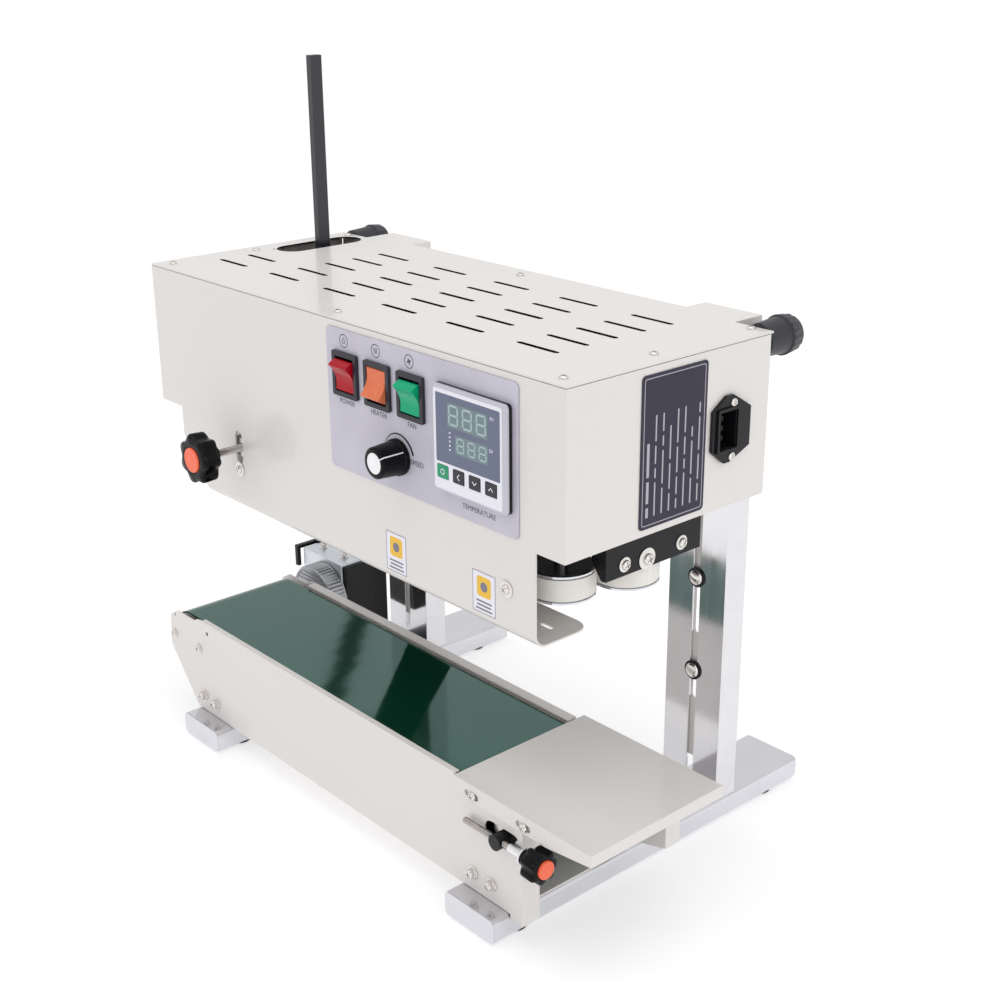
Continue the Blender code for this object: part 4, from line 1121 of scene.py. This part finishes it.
def stackedBolts(name, body, places, toward):
    # pan head on a spring ring, a nut and a washer
    heads = []
    for index, place in enumerate(places):
        parts = [
            spun("z", (0, 0), [(0, 5.0), (0.1, 5.2), (0.8, 5.2), (0.9, 5.0)], 32),
            slab([ringLoop(0, 0, 4.1, 6)], "z", 0.9, 2.6),
            spun("z", (0, 0), [(2.6, 3.6), (3.4, 3.6)], 28),
        ]
        head = screwHead(3.7, 2.3, 0.0, 15 + 41 * index)
        head.transform(Matrix.Translation((0, 0, 3.4)))
        bolt = together(*parts, head)
        bolt.transform(Matrix.Translation(place) @ facing[toward])
        heads.append(bolt)
    return finishPiece(name, together(*heads), body, "screw", smooth=40)


def makeConveyorHardware():
    front = span("conveyor_frame")[0].y
    screws("frameScrews", "base", [(x, front, z) for x, z in conveyor["small"]], "-y", 3.2, 2.0, 4.2)
    stackedBolts("frameBolts", "base", [(x, front, z) for x, z in conveyor["bolts"]], "-y")
    apron = span("exit_table")[0].y
    screws("tableScrews", "exit_table", [(x, apron, z) for x, z in conveyor["table"]], "-y", 3.6, 2.4)


def makeColumnHardware():
    for side in ("left", "right"):
        for level in ("lower", "upper"):
            node = f"{side}_bolt_{level}"
            low, high = span(node)
            x, z = (low.x + high.x) / 2, (low.z + high.z) / 2
            face = span(f"{side}_column")[0].y
            dome = [(face - 1.3, 6.2)]
            for i in range(1, 9):
                angle = math.radians(90 * i / 8)
                dome.append((face - 1.3 - 3.2 * math.sin(angle), max(0.3, 6.2 * math.cos(angle))))
            shank = spun("y", (x, z), [(face - 1.3, 2.8), (high.y, 2.8)], 24)
            nut = slab([ringLoop(x, z, 5.6, 6)], "y", high.y - 8, high.y - 3.5)
            name = f"{side}{level.title()}"
            bolt = together(spun("y", (x, z), dome, 40), shank, nut)
            finishPiece(f"{name}Bolt", bolt, "head", "screw", stands=(node,), smooth=35)
            ring = spun("y", (x, z), [(face - 1.3, 7.6), (face - 1.2, 7.9), (face - 0.1, 7.9),
                                      (face - 0.05, 7.7)], 40)
            finishPiece(f"{name}Washer", ring, "head", "blackMetal", smooth=40)


def makeFeet():
    for side in ("left", "right"):
        node = f"{side}_foot"
        low, high = span(node)
        outer = roundBox(low.x, high.x, -1.4, high.z, foot["corner"], 8)
        tube = slab([outer], "y", low.y + 1.0, high.y - 1.0)
        finishPiece(f"{side}FootTube", tube, "base", "chrome", stands=(node,), smooth=40)
        inner = roundBox(low.x + 0.3, high.x - 0.3, -1.1, high.z - 0.3, foot["corner"], 8)
        ends = together(slab([inner], "y", low.y, low.y + 1.2), slab([inner], "y", high.y - 1.2, high.y))
        finishPiece(f"{side}FootEnds", ends, "base", "chrome", 0.5, 3, 40)
        pads = []
        for y in (0.0, 276.0):
            for x in (low.x + 10, high.x - 10):
                pads.append(spun("z", (x, y), [(low.z, foot["pad"] - 0.6), (low.z + 0.6, foot["pad"]),
                                               (-1.3, foot["pad"]), (-1.1, foot["pad"] - 0.4)], 36))
        finishPiece(f"{side}FootPads", together(*pads), "base", "rubber", smooth=40)


def makeBeltMotor():
    low, high = span("belt_gearhead")
    x, z = (low.x + high.x) / 2, (low.z + high.z) / 2
    radius, wave = (high.x - low.x) / 2, motor["rib"]
    drum = rings("y", (x, z), [
        (low.y + 0.8, 8, 0), (low.y + 0.8, radius - 3.4, 0), (low.y, radius - 3.0, 0),
        (low.y, radius - 1.6, 0),
        (low.y + 1.0, radius - wave, wave), (high.y - 2.0, radius - wave, wave), (high.y - 1.4, radius, 0),
        (high.y, radius, 0), (high.y, 8, 0)], motor["ribs"], 216)
    finishPiece("gearheadDrum", drum, "base", "gunmetal", stands=("belt_gearhead",),
                smooth=35)
    grooves = [block(x - half, x + half, low.y + 0.1, low.y + 0.9, z + level, z + level + 0.9)
               for level, half in [(4.0 * i, math.sqrt((radius - 4.5) ** 2 - (4.0 * i + 0.5) ** 2))
                                   for i in range(-6, 7)]]
    finishPiece("gearheadFins", together(*grooves), "base", "gunmetal")
    top = span("motor_plate")[1].z
    screws("motorPegs", "base", [(u, v, top) for u, v in motor["pegs"]], "+z", 2.6, 4.6, 4.4)


for make in (makeHeadHardware, makeWheels, makeBands, makePanelPrint, makeRockers, makeSpeedDial,
             makeController, makeRightEnd, makeBumpers, makeSkirtLabels, makeHandKnobs, makeConveyorHardware,
             makeColumnHardware, makeFeet, makeBeltMotor):
    make()
    print("made:", make.__name__[4:])
